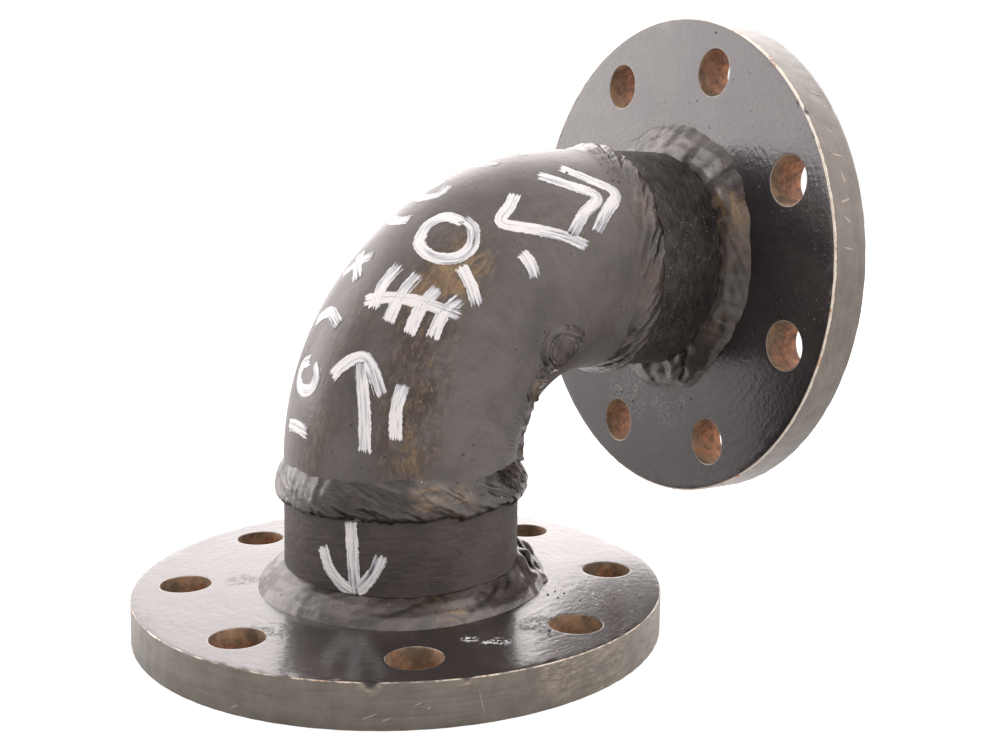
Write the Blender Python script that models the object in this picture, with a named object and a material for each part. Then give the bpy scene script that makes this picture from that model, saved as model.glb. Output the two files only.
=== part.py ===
"""Flanged elbow: a short-radius pipe bend with a stub and a slip-on plate flange welded to each end.

Metres, +Z up. It stands on the base flange's gasket face, and the side flange faces +X.
The origin is on the floor, at the middle of the whole fitting's length and width.

Each end of the fitting is a run: a flange, a stub and their welds, modelled alike in the run's own
frame. There the gasket face is at z = 0, the pipe's axis is the z axis, and +z leads to the bend.
"""

from math import cos, exp, hypot, pi, radians, sin, tan, tau

import bmesh
import bpy
from mathutils import Matrix, Vector

MM = 0.001

# The fitting as a whole
AXIS_HEIGHT = 140.0 * MM
REACH = 140.8 * MM

# Plate flanges
FLANGE_DIAMETER = 203.2 * MM
FLANGE_THICKNESS = 16.0 * MM
FLANGE_EDGE_BREAK = 0.6 * MM
BOLT_EDGE_DISTANCE = 19.1 * MM
BOLT_HOLE_DIAMETER = 19.0 * MM
BOLT_COUNT = 8
NUT_LAND_MARGIN = 7.0 * MM
SIDE_FLANGE_TURN = radians(1.4)

# Pipe and bend
PIPE_DIAMETER = 90.5 * MM
PIPE_WALL = 5.5 * MM
BEND_RADIUS = 76.2 * MM
BASE_TANGENT = 4.0 * MM
SIDE_TANGENT = 6.8 * MM
BORE_CLEARANCE = 0.5 * MM

# Weld preparation of the pipe ends
ROOT_GAP = 3.0 * MM
BEVEL_LAND = 1.6 * MM
BEVEL_ANGLE = radians(30)

# Butt welds between the stubs and the bend
BUTT_HALF_WIDTH = 6.6 * MM
BUTT_CAP_HEIGHT = 3.0 * MM
BUTT_RIPPLES = 24
BUTT_RIPPLE_HEIGHT = 0.7 * MM
BUTT_LEAN = radians(9)
SIDE_BUTT_WANDER = 1.8 * MM

# Outer fillet welds between the flanges and the stubs
BASE_FILLET_PIPE_LEG = 8.6 * MM
BASE_FILLET_FLANGE_LEG = 11.0 * MM
SIDE_FILLET_PIPE_LEG = 6.6 * MM
SIDE_FILLET_FLANGE_LEG = 11.5 * MM
FILLET_CROWN = 1.1 * MM
FILLET_RIPPLES = 18
FILLET_RIPPLE_HEIGHT = 0.6 * MM

# Seal welds inside the flange bores
SEAL_WELD_LEG = 4.0 * MM
SEAL_WELD_RECESS = 1.5 * MM
SEAL_WELD_SHY = 1.5 * MM

# Weld bead run up the throat of the bend, from the base butt weld to a round crater
THROAT_START = radians(7)
THROAT_END = radians(66)
THROAT_ROUND_START = radians(152)
THROAT_ROUND_END = radians(118)
THROAT_HALF_WIDTH = 6.6 * MM
THROAT_HEIGHT = 1.9 * MM
THROAT_RIPPLES = 9
THROAT_RIPPLE_HEIGHT = 0.5 * MM
CRATER_PLACES = (0.56, 0.87)
CRATER_RADIUS = 4.6 * MM
CRATER_RIM = 1.0 * MM
CRATER_DEPTH = 1.3 * MM

# Space between pieces that touch, and the thin edge of a weld bead
SEAT_GAP = 0.3 * MM
BEAD_EDGE = 0.35 * MM

# Facets round each form
RIM_FACETS = 72
HOLE_FACETS = 20
PIPE_FACETS = 48
BEND_STEPS = 12
BEAD_FACETS = 72
SEAL_FACETS = 48
THROAT_STEPS = 26
THROAT_STRIPS = 6

# Lumps in the outer fillets: angle round the run, spread, growth along the pipe, growth along the flange
BASE_FILLET_LUMPS = (
    (radians(-8), radians(13), 4.5 * MM, 3.0 * MM),
    (radians(-30), radians(9), 2.6 * MM, 0.8 * MM),
    (radians(-113), radians(24), -1.2 * MM, 2.6 * MM),
    (radians(158), radians(20), 1.4 * MM, -0.6 * MM),
    (radians(70), radians(25), 1.0 * MM, 1.6 * MM),
)
SIDE_FILLET_LUMPS = (
    (radians(-97), radians(20), 1.5 * MM, 0.8 * MM),
    (radians(-137), radians(22), -0.8 * MM, 3.6 * MM),
    (radians(140), radians(14), 2.4 * MM, -2.0 * MM),
    (radians(113), radians(8), 1.2 * MM, 1.6 * MM),
    (radians(84), radians(7), 1.6 * MM, 1.4 * MM),
    (radians(20), radians(26), 1.2 * MM, 1.0 * MM),
)

# Sizes that follow from the ones above
FLANGE_RADIUS = FLANGE_DIAMETER / 2
BOLT_CIRCLE_RADIUS = FLANGE_RADIUS - BOLT_EDGE_DISTANCE
NUT_LAND_RADIUS = BOLT_CIRCLE_RADIUS - BOLT_HOLE_DIAMETER / 2 - NUT_LAND_MARGIN
PIPE_RADIUS = PIPE_DIAMETER / 2
PIPE_BORE_RADIUS = PIPE_RADIUS - PIPE_WALL
FLANGE_BORE_RADIUS = PIPE_RADIUS + BORE_CLEARANCE
STUB_SETBACK = SEAL_WELD_RECESS + SEAL_WELD_LEG + SEAT_GAP
BEVEL_LENGTH = (PIPE_WALL - BEVEL_LAND) * tan(BEVEL_ANGLE)
BASE_AXIS_X = (FLANGE_RADIUS - REACH) / 2
BASE_GROOVE_Z = AXIS_HEIGHT - BEND_RADIUS - BASE_TANGENT - ROOT_GAP / 2
SIDE_GROOVE_Z = REACH - BEND_RADIUS - SIDE_TANGENT - ROOT_GAP / 2
BEND_LENGTH = BASE_TANGENT + BEND_RADIUS * pi / 2 + SIDE_TANGENT

# Frames of the two runs, and of the bend, whose path starts upwards above the base pipe's axis
BASE_RUN = Matrix.Translation((BASE_AXIS_X, 0, 0))
SIDE_RUN = Matrix.Translation((BASE_AXIS_X + REACH, 0, AXIS_HEIGHT)) @ Matrix(
    ((0, 0, -1, 0), (1, 0, 0, 0), (0, -1, 0, 0), (0, 0, 0, 1))
)
BEND_FRAME = Matrix.Translation((BASE_AXIS_X, 0, AXIS_HEIGHT - BEND_RADIUS))


def clear_scene():
    """Remove every object of the open scene."""
    for item in list(bpy.data.objects):
        bpy.data.objects.remove(item, do_unlink=True)


def make_material(name, color, roughness, metallic):
    """Principled material with one colour."""
    material = bpy.data.materials.new(name)
    material.use_nodes = True
    shader = material.node_tree.nodes["Principled BSDF"]
    shader.inputs["Base Color"].default_value = (*color, 1)
    shader.inputs["Roughness"].default_value = roughness
    shader.inputs["Metallic"].default_value = metallic
    return material


def add_object(name, bm, material, frame):
    """Turn a closed bmesh into an object that stands in the given frame."""
    bmesh.ops.recalc_face_normals(bm, faces=bm.faces)
    mesh = bpy.data.meshes.new(name)
    bm.to_mesh(mesh)
    bm.free()
    mesh.shade_smooth()
    mesh.set_sharp_from_angle(angle=radians(40))
    mesh.materials.append(material)
    item = bpy.data.objects.new(name, mesh)
    item.matrix_world = frame
    bpy.context.scene.collection.objects.link(item)
    return item


def join_rings(bm, rings, closed):
    """Quads between neighbouring rings of vertices, each ring a closed loop of equal length."""
    count = len(rings[0])
    pairs = list(zip(rings, rings[1:]))
    if closed:
        pairs.append((rings[-1], rings[0]))
    for ring, following in pairs:
        for i in range(count):
            j = (i + 1) % count
            bm.faces.new((ring[i], ring[j], following[j], following[i]))


def turned_ring(section_at, facets):
    """Ring round the z axis whose closed (radius, z) section may change with the angle."""
    bm = bmesh.new()
    rings = []
    for step in range(facets):
        angle = tau * step / facets
        rings.append([bm.verts.new((r * cos(angle), r * sin(angle), z)) for r, z in section_at(angle)])
    join_rings(bm, rings, closed=True)
    return bm


def angle_between(a, b):
    """Smallest angle between two directions, from 0 to pi."""
    return abs((a - b + pi) % tau - pi)


def bell(distance, spread):
    """Smooth bump of height 1 that fades out over the spread."""
    return exp(-((distance / spread) ** 2))


def saw_wave(turns):
    """Ripple of a weld pass: rises slowly and drops fast, from 0 to 1, once in each turn."""
    rise = turns % 1
    return rise / 0.7 if rise < 0.7 else (1 - rise) / 0.3


# Flanges and stubs


def make_flange(name, frame, turn, material):
    """Turned plate with broken edges, bored for the pipe and drilled on the bolt circle.

    The back face has its own ring round the bolt holes, where the nuts seat clear of the fillet weld.
    """
    corner = FLANGE_EDGE_BREAK
    section = (
        (FLANGE_BORE_RADIUS, 0),
        (FLANGE_RADIUS - corner, 0),
        (FLANGE_RADIUS, corner),
        (FLANGE_RADIUS, FLANGE_THICKNESS - corner),
        (FLANGE_RADIUS - corner, FLANGE_THICKNESS),
        (NUT_LAND_RADIUS, FLANGE_THICKNESS),
        (FLANGE_BORE_RADIUS, FLANGE_THICKNESS),
    )
    plate = add_object(name, turned_ring(lambda angle: section, RIM_FACETS), material, frame)
    drill = make_drill(name + "_drill", frame, turn)
    cut = plate.modifiers.new("bolt_holes", "BOOLEAN")
    cut.operation = "DIFFERENCE"
    cut.solver = "EXACT"
    cut.object = drill
    return plate


def make_drill(name, frame, turn):
    """Cutter for the bolt holes, which straddle the flange's centre lines."""
    bm = bmesh.new()
    for index in range(BOLT_COUNT):
        angle = tau * (index + 0.5) / BOLT_COUNT + turn
        centre = Vector((BOLT_CIRCLE_RADIUS * cos(angle), BOLT_CIRCLE_RADIUS * sin(angle), 0))
        centre.z = FLANGE_THICKNESS / 2
        bmesh.ops.create_cone(
            bm,
            cap_ends=True,
            segments=HOLE_FACETS,
            radius1=BOLT_HOLE_DIAMETER / 2,
            radius2=BOLT_HOLE_DIAMETER / 2,
            depth=FLANGE_THICKNESS * 2,
            matrix=Matrix.Translation(centre),
        )
    mesh = bpy.data.meshes.new(name)
    bm.to_mesh(mesh)
    bm.free()
    drill = bpy.data.objects.new(name, mesh)
    drill.matrix_world = frame
    drill.hide_render = True
    drill.display_type = "WIRE"
    bpy.context.scene.collection.objects.link(drill)
    return drill


def make_stub(name, frame, groove_z, material):
    """Short pipe with a square end inside the flange and a bevelled end at the bend."""
    end = groove_z - ROOT_GAP / 2
    section = (
        (PIPE_BORE_RADIUS, STUB_SETBACK),
        (PIPE_RADIUS, STUB_SETBACK),
        (PIPE_RADIUS, end - BEVEL_LENGTH),
        (PIPE_BORE_RADIUS + BEVEL_LAND, end),
        (PIPE_BORE_RADIUS, end),
    )
    return add_object(name, turned_ring(lambda angle: section, PIPE_FACETS), material, frame)


# Bend


def bend_point(along, radius, angle):
    """Point at a distance along the bend's path and at a radius and angle round the tube.

    Angle 0 is the outside of the bend, and angle pi is its throat. The tube's front is at -Y.
    """
    turn = min(max((along - BASE_TANGENT) / BEND_RADIUS, 0), pi / 2)
    straight = along - BASE_TANGENT - turn * BEND_RADIUS
    outward = radius * cos(angle) + BEND_RADIUS
    x = BEND_RADIUS - outward * cos(turn) + straight * sin(turn)
    z = outward * sin(turn) + straight * cos(turn)
    return Vector((x, -radius * sin(angle), z))


def make_bend(name, material):
    """Hollow tube along a quarter circle with short straight ends, bevelled for welding."""
    arc = [BASE_TANGENT + BEND_RADIUS * pi / 2 * step / BEND_STEPS for step in range(BEND_STEPS + 1)]
    profile = [(0, PIPE_BORE_RADIUS + BEVEL_LAND), (BEVEL_LENGTH, PIPE_RADIUS)]
    profile += [(along, PIPE_RADIUS) for along in arc]
    profile += [(BEND_LENGTH - BEVEL_LENGTH, PIPE_RADIUS), (BEND_LENGTH, PIPE_BORE_RADIUS + BEVEL_LAND)]
    profile += [(BEND_LENGTH, PIPE_BORE_RADIUS)]
    profile += [(along, PIPE_BORE_RADIUS) for along in reversed(arc)]
    profile += [(0, PIPE_BORE_RADIUS)]
    bm = bmesh.new()
    rings = []
    for along, radius in profile:
        angles = [tau * step / PIPE_FACETS for step in range(PIPE_FACETS)]
        rings.append([bm.verts.new(bend_point(along, radius, angle)) for angle in angles])
    join_rings(bm, rings, closed=True)
    return add_object(name, bm, material, BEND_FRAME)


# Welds


def make_butt_weld(name, frame, groove_z, wander, material):
    """Weld metal that fills the bevelled groove and stands over it as a rippled cap."""
    root = ROOT_GAP / 2 - SEAT_GAP
    shoulder = root + (PIPE_WALL - BEVEL_LAND + SEAT_GAP) * tan(BEVEL_ANGLE)
    seat = PIPE_RADIUS + SEAT_GAP

    def cap_height(angle, side):
        ripple = saw_wave((angle + side * BUTT_LEAN) * BUTT_RIPPLES / tau)
        swell = 0.25 * sin(2 * angle + 0.6) + 0.15 * sin(5 * angle)
        height = BUTT_CAP_HEIGHT * (1 + swell * 0.5) + BUTT_RIPPLE_HEIGHT * (ripple - 0.5)
        return height * (1 - side ** 4)

    def section_at(angle):
        centre = groove_z - wander * sin(angle)
        half = BUTT_HALF_WIDTH + 0.35 * BUTT_RIPPLE_HEIGHT * sin(3 * angle) + wander * 0.2
        low = centre - half
        high = centre + half
        crown = [
            (seat + BEAD_EDGE + cap_height(angle, side), centre + side * half) for side in (-0.6, 0, 0.6)
        ]
        return [
            (PIPE_BORE_RADIUS, groove_z + root),
            (PIPE_BORE_RADIUS, groove_z - root),
            (PIPE_BORE_RADIUS + BEVEL_LAND, groove_z - root),
            (seat, groove_z - shoulder),
            (seat, low),
            *crown,
            (seat, high),
            (seat, groove_z + shoulder),
            (PIPE_BORE_RADIUS + BEVEL_LAND, groove_z + root),
        ]

    return add_object(name, turned_ring(section_at, BEAD_FACETS), material, frame)


def make_fillet_weld(name, frame, pipe_leg, flange_leg, lumps, material):
    """Weld in the outer corner between flange and stub, with hand-made swells and ripples."""
    seat_r = PIPE_RADIUS + SEAT_GAP
    seat_z = FLANGE_THICKNESS + SEAT_GAP

    def legs_at(angle):
        up = pipe_leg
        out = flange_leg
        for place, spread, pipe_growth, flange_growth in lumps:
            share = bell(angle_between(angle, place), spread)
            up += pipe_growth * share
            out += flange_growth * share
        return up, out

    def section_at(angle):
        up, out = legs_at(angle)
        face = []
        for share in (0.25, 0.5, 0.75):
            ripple = FILLET_RIPPLE_HEIGHT * saw_wave((angle + share * 0.3) * FILLET_RIPPLES / tau)
            crown = (FILLET_CROWN + ripple) * sin(pi * share)
            slope = hypot(up, out)
            face.append(
                (seat_r + out * share + crown * up / slope, seat_z + up * (1 - share) + crown * out / slope)
            )
        return [(seat_r, seat_z), (seat_r, seat_z + up), *face, (seat_r + out, seat_z)]

    return add_object(name, turned_ring(section_at, BEAD_FACETS), material, frame)


def make_seal_weld(name, frame, material):
    """Small fillet inside the flange bore, on the stub's set-back end."""
    wall = FLANGE_BORE_RADIUS - SEAT_GAP
    floor = STUB_SETBACK - SEAT_GAP
    inner = PIPE_BORE_RADIUS + SEAL_WELD_SHY
    section = (
        (wall, floor),
        (inner, floor),
        ((wall + inner) / 2 - 0.1 * SEAL_WELD_LEG, floor - SEAL_WELD_LEG * 0.6),
        (wall, floor - SEAL_WELD_LEG),
    )
    return add_object(name, turned_ring(lambda angle: section, SEAL_FACETS), material, frame)


def throat_centre(share):
    """Angle along the bend and angle round the tube, at a share of the throat bead's length."""
    bend = THROAT_START + (THROAT_END - THROAT_START) * share
    tube = THROAT_ROUND_START + (THROAT_ROUND_END - THROAT_ROUND_START) * share ** 1.5
    return bend, tube


def throat_spot(share, side):
    """Flat place on the throat's surface, in metres, for measuring distances to a crater."""
    bend, tube = throat_centre(share)
    reach = BEND_RADIUS + PIPE_RADIUS * cos(tube)
    return bend * reach, side * throat_half_width(share)


def throat_half_width(share):
    """Half the bead's width, round at both ends and fuller round the craters."""
    end = 1 - abs(2 * share - 1) ** 5
    return THROAT_HALF_WIDTH * (0.25 + 0.75 * end)


def throat_height(share, side):
    """Thickness of the throat bead, with ripples across it and sunken craters with raised rims."""
    ripple = THROAT_RIPPLE_HEIGHT * saw_wave(share * THROAT_RIPPLES + abs(side) * 0.5)
    height = (THROAT_HEIGHT + ripple) * (1 - side * side)
    here = throat_spot(share, side)
    for place in CRATER_PLACES:
        there = throat_spot(place, 0)
        distance = hypot(here[0] - there[0], here[1] - there[1])
        height += CRATER_RIM * bell(distance - CRATER_RADIUS, CRATER_RADIUS * 0.35)
        height -= CRATER_DEPTH * bell(distance, CRATER_RADIUS * 0.6)
    fade = 1 - abs(2 * share - 1) ** 8
    edge = 1 - side ** 6
    return BEAD_EDGE + max(height, 0) * fade * edge


def make_throat_weld(name, material):
    """Bead laid on the tube's surface: one layer of points at the seat and one on top."""
    bm = bmesh.new()
    seat = PIPE_RADIUS + SEAT_GAP
    rings = []
    for step in range(THROAT_STEPS + 1):
        share = step / THROAT_STEPS
        bend, tube = throat_centre(share)
        along = BASE_TANGENT + bend * BEND_RADIUS
        lower = []
        upper = []
        for strip in range(THROAT_STRIPS + 1):
            side = 2 * strip / THROAT_STRIPS - 1
            angle = tube + side * throat_half_width(share) / PIPE_RADIUS
            lower.append(bm.verts.new(bend_point(along, seat, angle)))
            upper.append(bm.verts.new(bend_point(along, seat + throat_height(share, side), angle)))
        rings.append(lower + upper[::-1])
    join_rings(bm, rings, closed=False)
    bm.faces.new(rings[0])
    bm.faces.new(rings[-1])
    return add_object(name, bm, material, BEND_FRAME)


def build_fitting():
    """Model every piece of the fitting."""
    clear_scene()
    plate_paint = make_material("plate_paint", (0.030, 0.027, 0.024), 0.28, 0.0)
    pipe_paint = make_material("pipe_paint", (0.042, 0.037, 0.032), 0.38, 0.0)
    weld_paint = make_material("weld_paint", (0.060, 0.050, 0.040), 0.30, 0.0)
    bare_weld = make_material("bare_weld", (0.240, 0.200, 0.160), 0.45, 0.8)

    make_flange("base_flange", BASE_RUN, 0, plate_paint)
    make_flange("side_flange", SIDE_RUN, SIDE_FLANGE_TURN, plate_paint)
    make_stub("base_stub", BASE_RUN, BASE_GROOVE_Z, pipe_paint)
    make_stub("side_stub", SIDE_RUN, SIDE_GROOVE_Z, pipe_paint)
    make_bend("elbow", pipe_paint)

    make_butt_weld("base_butt_weld", BASE_RUN, BASE_GROOVE_Z, 0, weld_paint)
    make_butt_weld("side_butt_weld", SIDE_RUN, SIDE_GROOVE_Z, SIDE_BUTT_WANDER, weld_paint)
    make_fillet_weld(
        "base_fillet_weld",
        BASE_RUN,
        BASE_FILLET_PIPE_LEG,
        BASE_FILLET_FLANGE_LEG,
        BASE_FILLET_LUMPS,
        weld_paint,
    )
    make_fillet_weld(
        "side_fillet_weld",
        SIDE_RUN,
        SIDE_FILLET_PIPE_LEG,
        SIDE_FILLET_FLANGE_LEG,
        SIDE_FILLET_LUMPS,
        weld_paint,
    )
    make_seal_weld("base_seal_weld", BASE_RUN, bare_weld)
    make_seal_weld("side_seal_weld", SIDE_RUN, bare_weld)
    make_throat_weld("throat_weld", weld_paint)


build_fitting()
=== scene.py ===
"""Looks of the flanged elbow: an old black-painted pipe bend with rough welds and hand-brushed marks.

Every visible piece is a numpy surface fitted to the frame. Each one carries a "place" attribute, its
straightened place in metres: x and y across the pipe's axis and z along it. The paint and rust read it.
"""

from math import cos, pi, radians, sin, tan, tau

import bpy
import numpy as np
from mathutils import Matrix, Vector


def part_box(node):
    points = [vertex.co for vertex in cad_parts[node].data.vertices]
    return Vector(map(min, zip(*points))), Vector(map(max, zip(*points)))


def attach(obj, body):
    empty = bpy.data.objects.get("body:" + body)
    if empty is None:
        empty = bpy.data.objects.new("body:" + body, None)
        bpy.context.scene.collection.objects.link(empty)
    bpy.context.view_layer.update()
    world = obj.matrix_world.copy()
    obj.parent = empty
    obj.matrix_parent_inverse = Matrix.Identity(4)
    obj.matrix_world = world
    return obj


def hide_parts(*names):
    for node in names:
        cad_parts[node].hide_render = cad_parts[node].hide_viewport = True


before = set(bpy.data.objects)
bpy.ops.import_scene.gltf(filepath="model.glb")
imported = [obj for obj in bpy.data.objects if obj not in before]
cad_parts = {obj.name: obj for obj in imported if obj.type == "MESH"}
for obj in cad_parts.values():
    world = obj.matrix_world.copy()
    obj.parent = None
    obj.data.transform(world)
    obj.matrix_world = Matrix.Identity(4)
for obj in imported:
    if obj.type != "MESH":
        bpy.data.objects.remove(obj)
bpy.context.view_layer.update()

MM = 0.001

# Sizes of the fitting that its solids give
BASE_LOW, BASE_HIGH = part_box("base_flange")
SIDE_LOW, SIDE_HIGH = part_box("side_flange")
STUB_LOW, STUB_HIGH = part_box("base_stub")
SIDE_STUB_LOW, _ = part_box("side_stub")
BEND_LOW, BEND_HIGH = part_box("elbow")
AXIS_X = (BASE_LOW.x + BASE_HIGH.x) / 2
AXIS_Z = (SIDE_LOW.z + SIDE_HIGH.z) / 2
FACE_X = SIDE_HIGH.x
PLATE_RADIUS = (BASE_HIGH.y - BASE_LOW.y) / 2
PLATE_THICKNESS = BASE_HIGH.z - BASE_LOW.z
PIPE_RADIUS = (STUB_HIGH.y - STUB_LOW.y) / 2

# Sizes of the fitting that its solids don't give by themselves
BOLT_CIRCLE_RADIUS = PLATE_RADIUS - 19.1 * MM
BOLT_HOLE_RADIUS = 9.5 * MM
BOLT_COUNT = 8
SIDE_TURN = radians(1.4)
PIPE_WALL = 5.5 * MM
BORE_RADIUS = PIPE_RADIUS - PIPE_WALL
PLATE_BORE_RADIUS = PIPE_RADIUS + 0.5 * MM
BEND_RADIUS = 76.2 * MM
BEVEL_LAND = 1.6 * MM
BEVEL_ANGLE = radians(30)
BEVEL_RUN = (PIPE_WALL - BEVEL_LAND) * tan(BEVEL_ANGLE)
LAND_RADIUS = BORE_RADIUS + BEVEL_LAND
ROOT_GAP = BEND_LOW.z - STUB_HIGH.z
BASE_TANGENT = AXIS_Z - BEND_RADIUS - BEND_LOW.z
SIDE_TANGENT = BEND_HIGH.x - AXIS_X - BEND_RADIUS
BEND_LENGTH = BASE_TANGENT + BEND_RADIUS * pi / 2 + SIDE_TANGENT
BASE_GROOVE = (STUB_HIGH.z + BEND_LOW.z) / 2
SIDE_GROOVE = FACE_X - (SIDE_STUB_LOW.x + BEND_HIGH.x) / 2

# Camera, worked out from the rims and bolt holes in the photograph
FOCAL_PIXELS = 1179.9
IMAGE_WIDTH = 1000
IMAGE_HEIGHT = 750
CENTRE_PIXEL = (532.0, 341.9)
CAMERA_PLACE = (AXIS_X - 194.71 * MM, -408.90 * MM, 167.24 * MM)
CAMERA_AZIMUTH = radians(-31.764)
CAMERA_ELEVATION = radians(7.219)
CAMERA_ROLL = radians(-1.010)


# Surfaces

SAME_POINT = 0.002 * MM
SHARP_ANGLE = radians(50)


def run_to_world(points, run):
    """Points of a flange and its pipe in the part's frame, from a gasket face at z = 0 and +z to the bend."""
    x, y, z = np.moveaxis(points, -1, 0)
    if run == "base":
        return np.stack([AXIS_X + x, y, z], axis=-1)
    return np.stack([FACE_X - z, x, AXIS_Z - y], axis=-1)


def bend_to_world(along, radius, angle):
    """Points at a distance along the bend's path, and at a radius and angle round the tube.

    Along the middle the path is a quarter circle, and before and after it the path is straight. Angle 0
    is the outside of the bend, a quarter turn is its -Y side and a half turn is its throat.
    """
    turn = np.clip((along - BASE_TANGENT) / BEND_RADIUS, 0, pi / 2)
    straight = along - BASE_TANGENT - turn * BEND_RADIUS
    outward = radius * np.cos(angle) + BEND_RADIUS
    x = BEND_RADIUS - outward * np.cos(turn) + straight * np.sin(turn)
    z = outward * np.sin(turn) + straight * np.cos(turn)
    y = -radius * np.sin(angle) + 0 * along
    return np.stack([AXIS_X + x, y, AXIS_Z - BEND_RADIUS + z], axis=-1)


def waves(u, v, seed, turns=(1, 9), spread=3.0, count=14, lean=0.0):
    """Gentle noise of about unit size: cosines with whole turns in u, so that a ring has no seam.

    A lean makes the crests run together, askew by that much u for each unit of v.
    """
    rng = np.random.default_rng(seed)
    total = 0 * u * v
    for _ in range(count):
        turn = rng.integers(turns[0], turns[1] + 1)
        slant = rng.uniform(-spread, spread)
        phase = rng.uniform(0, tau)
        total = total + np.cos(turn * (u + lean * v) + slant * v + phase)
    return total / np.sqrt(count / 2)


def bell(distance, spread):
    """Smooth bump of height 1 that fades out over the spread."""
    return np.exp(-((distance / spread) ** 2))


def angle_between(a, b):
    """Smallest angle between two directions, from 0 to pi."""
    return np.abs((a - b + pi) % tau - pi)


def smooth(low, high, value):
    """Smooth step from 0 at low to 1 at high."""
    t = np.clip((value - low) / (high - low), 0, 1)
    return t * t * (3 - 2 * t)


def ring(steps):
    """Angles once round an axis, as one row."""
    return np.linspace(0, tau, steps, endpoint=False)[None, :]


def grid_faces(rows, columns, rows_closed=False):
    """Quads of a grid, four indices each. Its last column joins the first, and its rows may close too."""
    i = np.arange(rows if rows_closed else rows - 1)[:, None]
    j = np.arange(columns)[None, :]
    next_i = (i + 1) % rows
    next_j = (j + 1) % columns
    corners = [i * columns + j, i * columns + next_j, next_i * columns + next_j, next_i * columns + j]
    return np.stack(corners, axis=-1).reshape(-1, 4)


def capped_faces(rows, columns):
    """Quads of a tube of flat rings, their first half over their second, with both ends closed."""
    i = np.arange(columns // 2 - 1)
    start = np.stack([i, columns - 1 - i, columns - 2 - i, i + 1], axis=-1)
    end = start[:, ::-1] + (rows - 1) * columns
    return np.concatenate([grid_faces(rows, columns), start, end])


def joined(points, faces):
    """Points that coincide made one, and faces left with no area gone."""
    cells = np.round(points / SAME_POINT)
    _, first, index = np.unique(cells, axis=0, return_index=True, return_inverse=True)
    faces = index.ravel()[faces]
    distinct = [len(set(face)) > 2 for face in faces.tolist()]
    return points[first], faces[distinct]


def add_piece(name, points, faces, place, material, node=None, slot="pipe_paint", relief=None, stroke=None):
    """Mesh piece that rides on the fitting and, where a node is named, stands for that node.

    Its faces are turned to point out by its signed volume. Relief is a number from -1 in a groove to 1 on a
    crest, which the weld paints turn into painted shade and painted highlight, and stroke is a place on a brush
    stroke.
    """
    corners = points[faces]
    normals = np.cross(corners[:, 2] - corners[:, 0], corners[:, 3] - corners[:, 1])
    if np.sum(normals * (corners.mean(1) - points.mean(0))) < 0:
        faces = faces[:, ::-1]
    mesh = bpy.data.meshes.new(name)
    mesh.from_pydata(points.tolist(), [], [list(dict.fromkeys(face)) for face in faces.tolist()])
    for title, values in (("place", place), ("stroke", stroke)):
        if values is not None:
            attribute = mesh.attributes.new(title, "FLOAT_VECTOR", "POINT")
            attribute.data.foreach_set("vector", np.ascontiguousarray(values, dtype=np.float32).ravel())
    if relief is not None:
        attribute = mesh.attributes.new("relief", "FLOAT", "POINT")
        attribute.data.foreach_set("value", np.ascontiguousarray(relief, dtype=np.float32).ravel())
    mesh.shade_smooth()
    mesh.set_sharp_from_angle(angle=SHARP_ANGLE)
    mesh.materials.append(material)
    piece = bpy.data.objects.new(name, mesh)
    bpy.context.scene.collection.objects.link(piece)
    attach(piece, "root")
    if node:
        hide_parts(node)


def add_grid(name, world, place, material, relief=None, **settings):
    """Piece made of one grid of points that is closed both ways, rows by columns."""
    faces = grid_faces(*world.shape[:2], rows_closed=True)
    if relief is not None:
        relief = relief.reshape(-1)
    add_piece(name, world.reshape(-1, 3), faces, place.reshape(-1, 3), material, relief=relief, **settings)


def turned(radius, height, angle):
    """Points turned about the z axis, from a radius, a height and an angle that broadcast."""
    radius, height, angle = np.broadcast_arrays(radius, height, angle)
    return np.stack([radius * np.cos(angle), radius * np.sin(angle), height], axis=-1)


def spun(points, angle):
    """Points turned about the z axis by an angle."""
    x, y, z = np.moveaxis(points, -1, 0)
    return np.stack([x * cos(angle) - y * sin(angle), x * sin(angle) + y * cos(angle), z], axis=-1)


# Flanges

SECTOR = tau / BOLT_COUNT
EDGE_ROUND = 0.6 * MM
LIP_ROUND = 0.45 * MM
RIM_DENT = 0.05 * MM
NICK_REACH = 2.2 * MM
# Steps of a sector's rim, bore and straight sides, of its face from hole to border, of a hole's rounded
# lip, and of the rim's corner and height
RIM_STEPS = 90
BORE_STEPS = 18
SIDE_STEPS = 10
FACE_STEPS = 8
LIP_STEPS = 4
CORNER_STEPS = 6
RIM_ROWS = 12
BORE_ROWS = 4
# How much closer the rows of the face stand towards a hole
CROWDING = 1.5


def sector_border():
    """Border of one sector of the plate's flat face, round from the rim's arc to the bore's arc and back."""
    rim = PLATE_RADIUS - EDGE_ROUND
    half = SECTOR / 2
    rim_angles = np.linspace(-half, half, RIM_STEPS, endpoint=False)
    bore_angles = np.linspace(half, -half, BORE_STEPS, endpoint=False)
    inward = np.linspace(rim, PLATE_BORE_RADIUS, SIDE_STEPS, endpoint=False)
    outward = np.linspace(PLATE_BORE_RADIUS, rim, SIDE_STEPS, endpoint=False)
    along_rim = np.full(RIM_STEPS, rim)
    along_bore = np.full(BORE_STEPS, PLATE_BORE_RADIUS)
    radius = np.concatenate([along_rim, inward, along_bore, outward])
    side = np.full(SIDE_STEPS, half)
    angle = np.concatenate([rim_angles, side, bore_angles, -side])
    return radius * np.cos(angle), radius * np.sin(angle)


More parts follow.
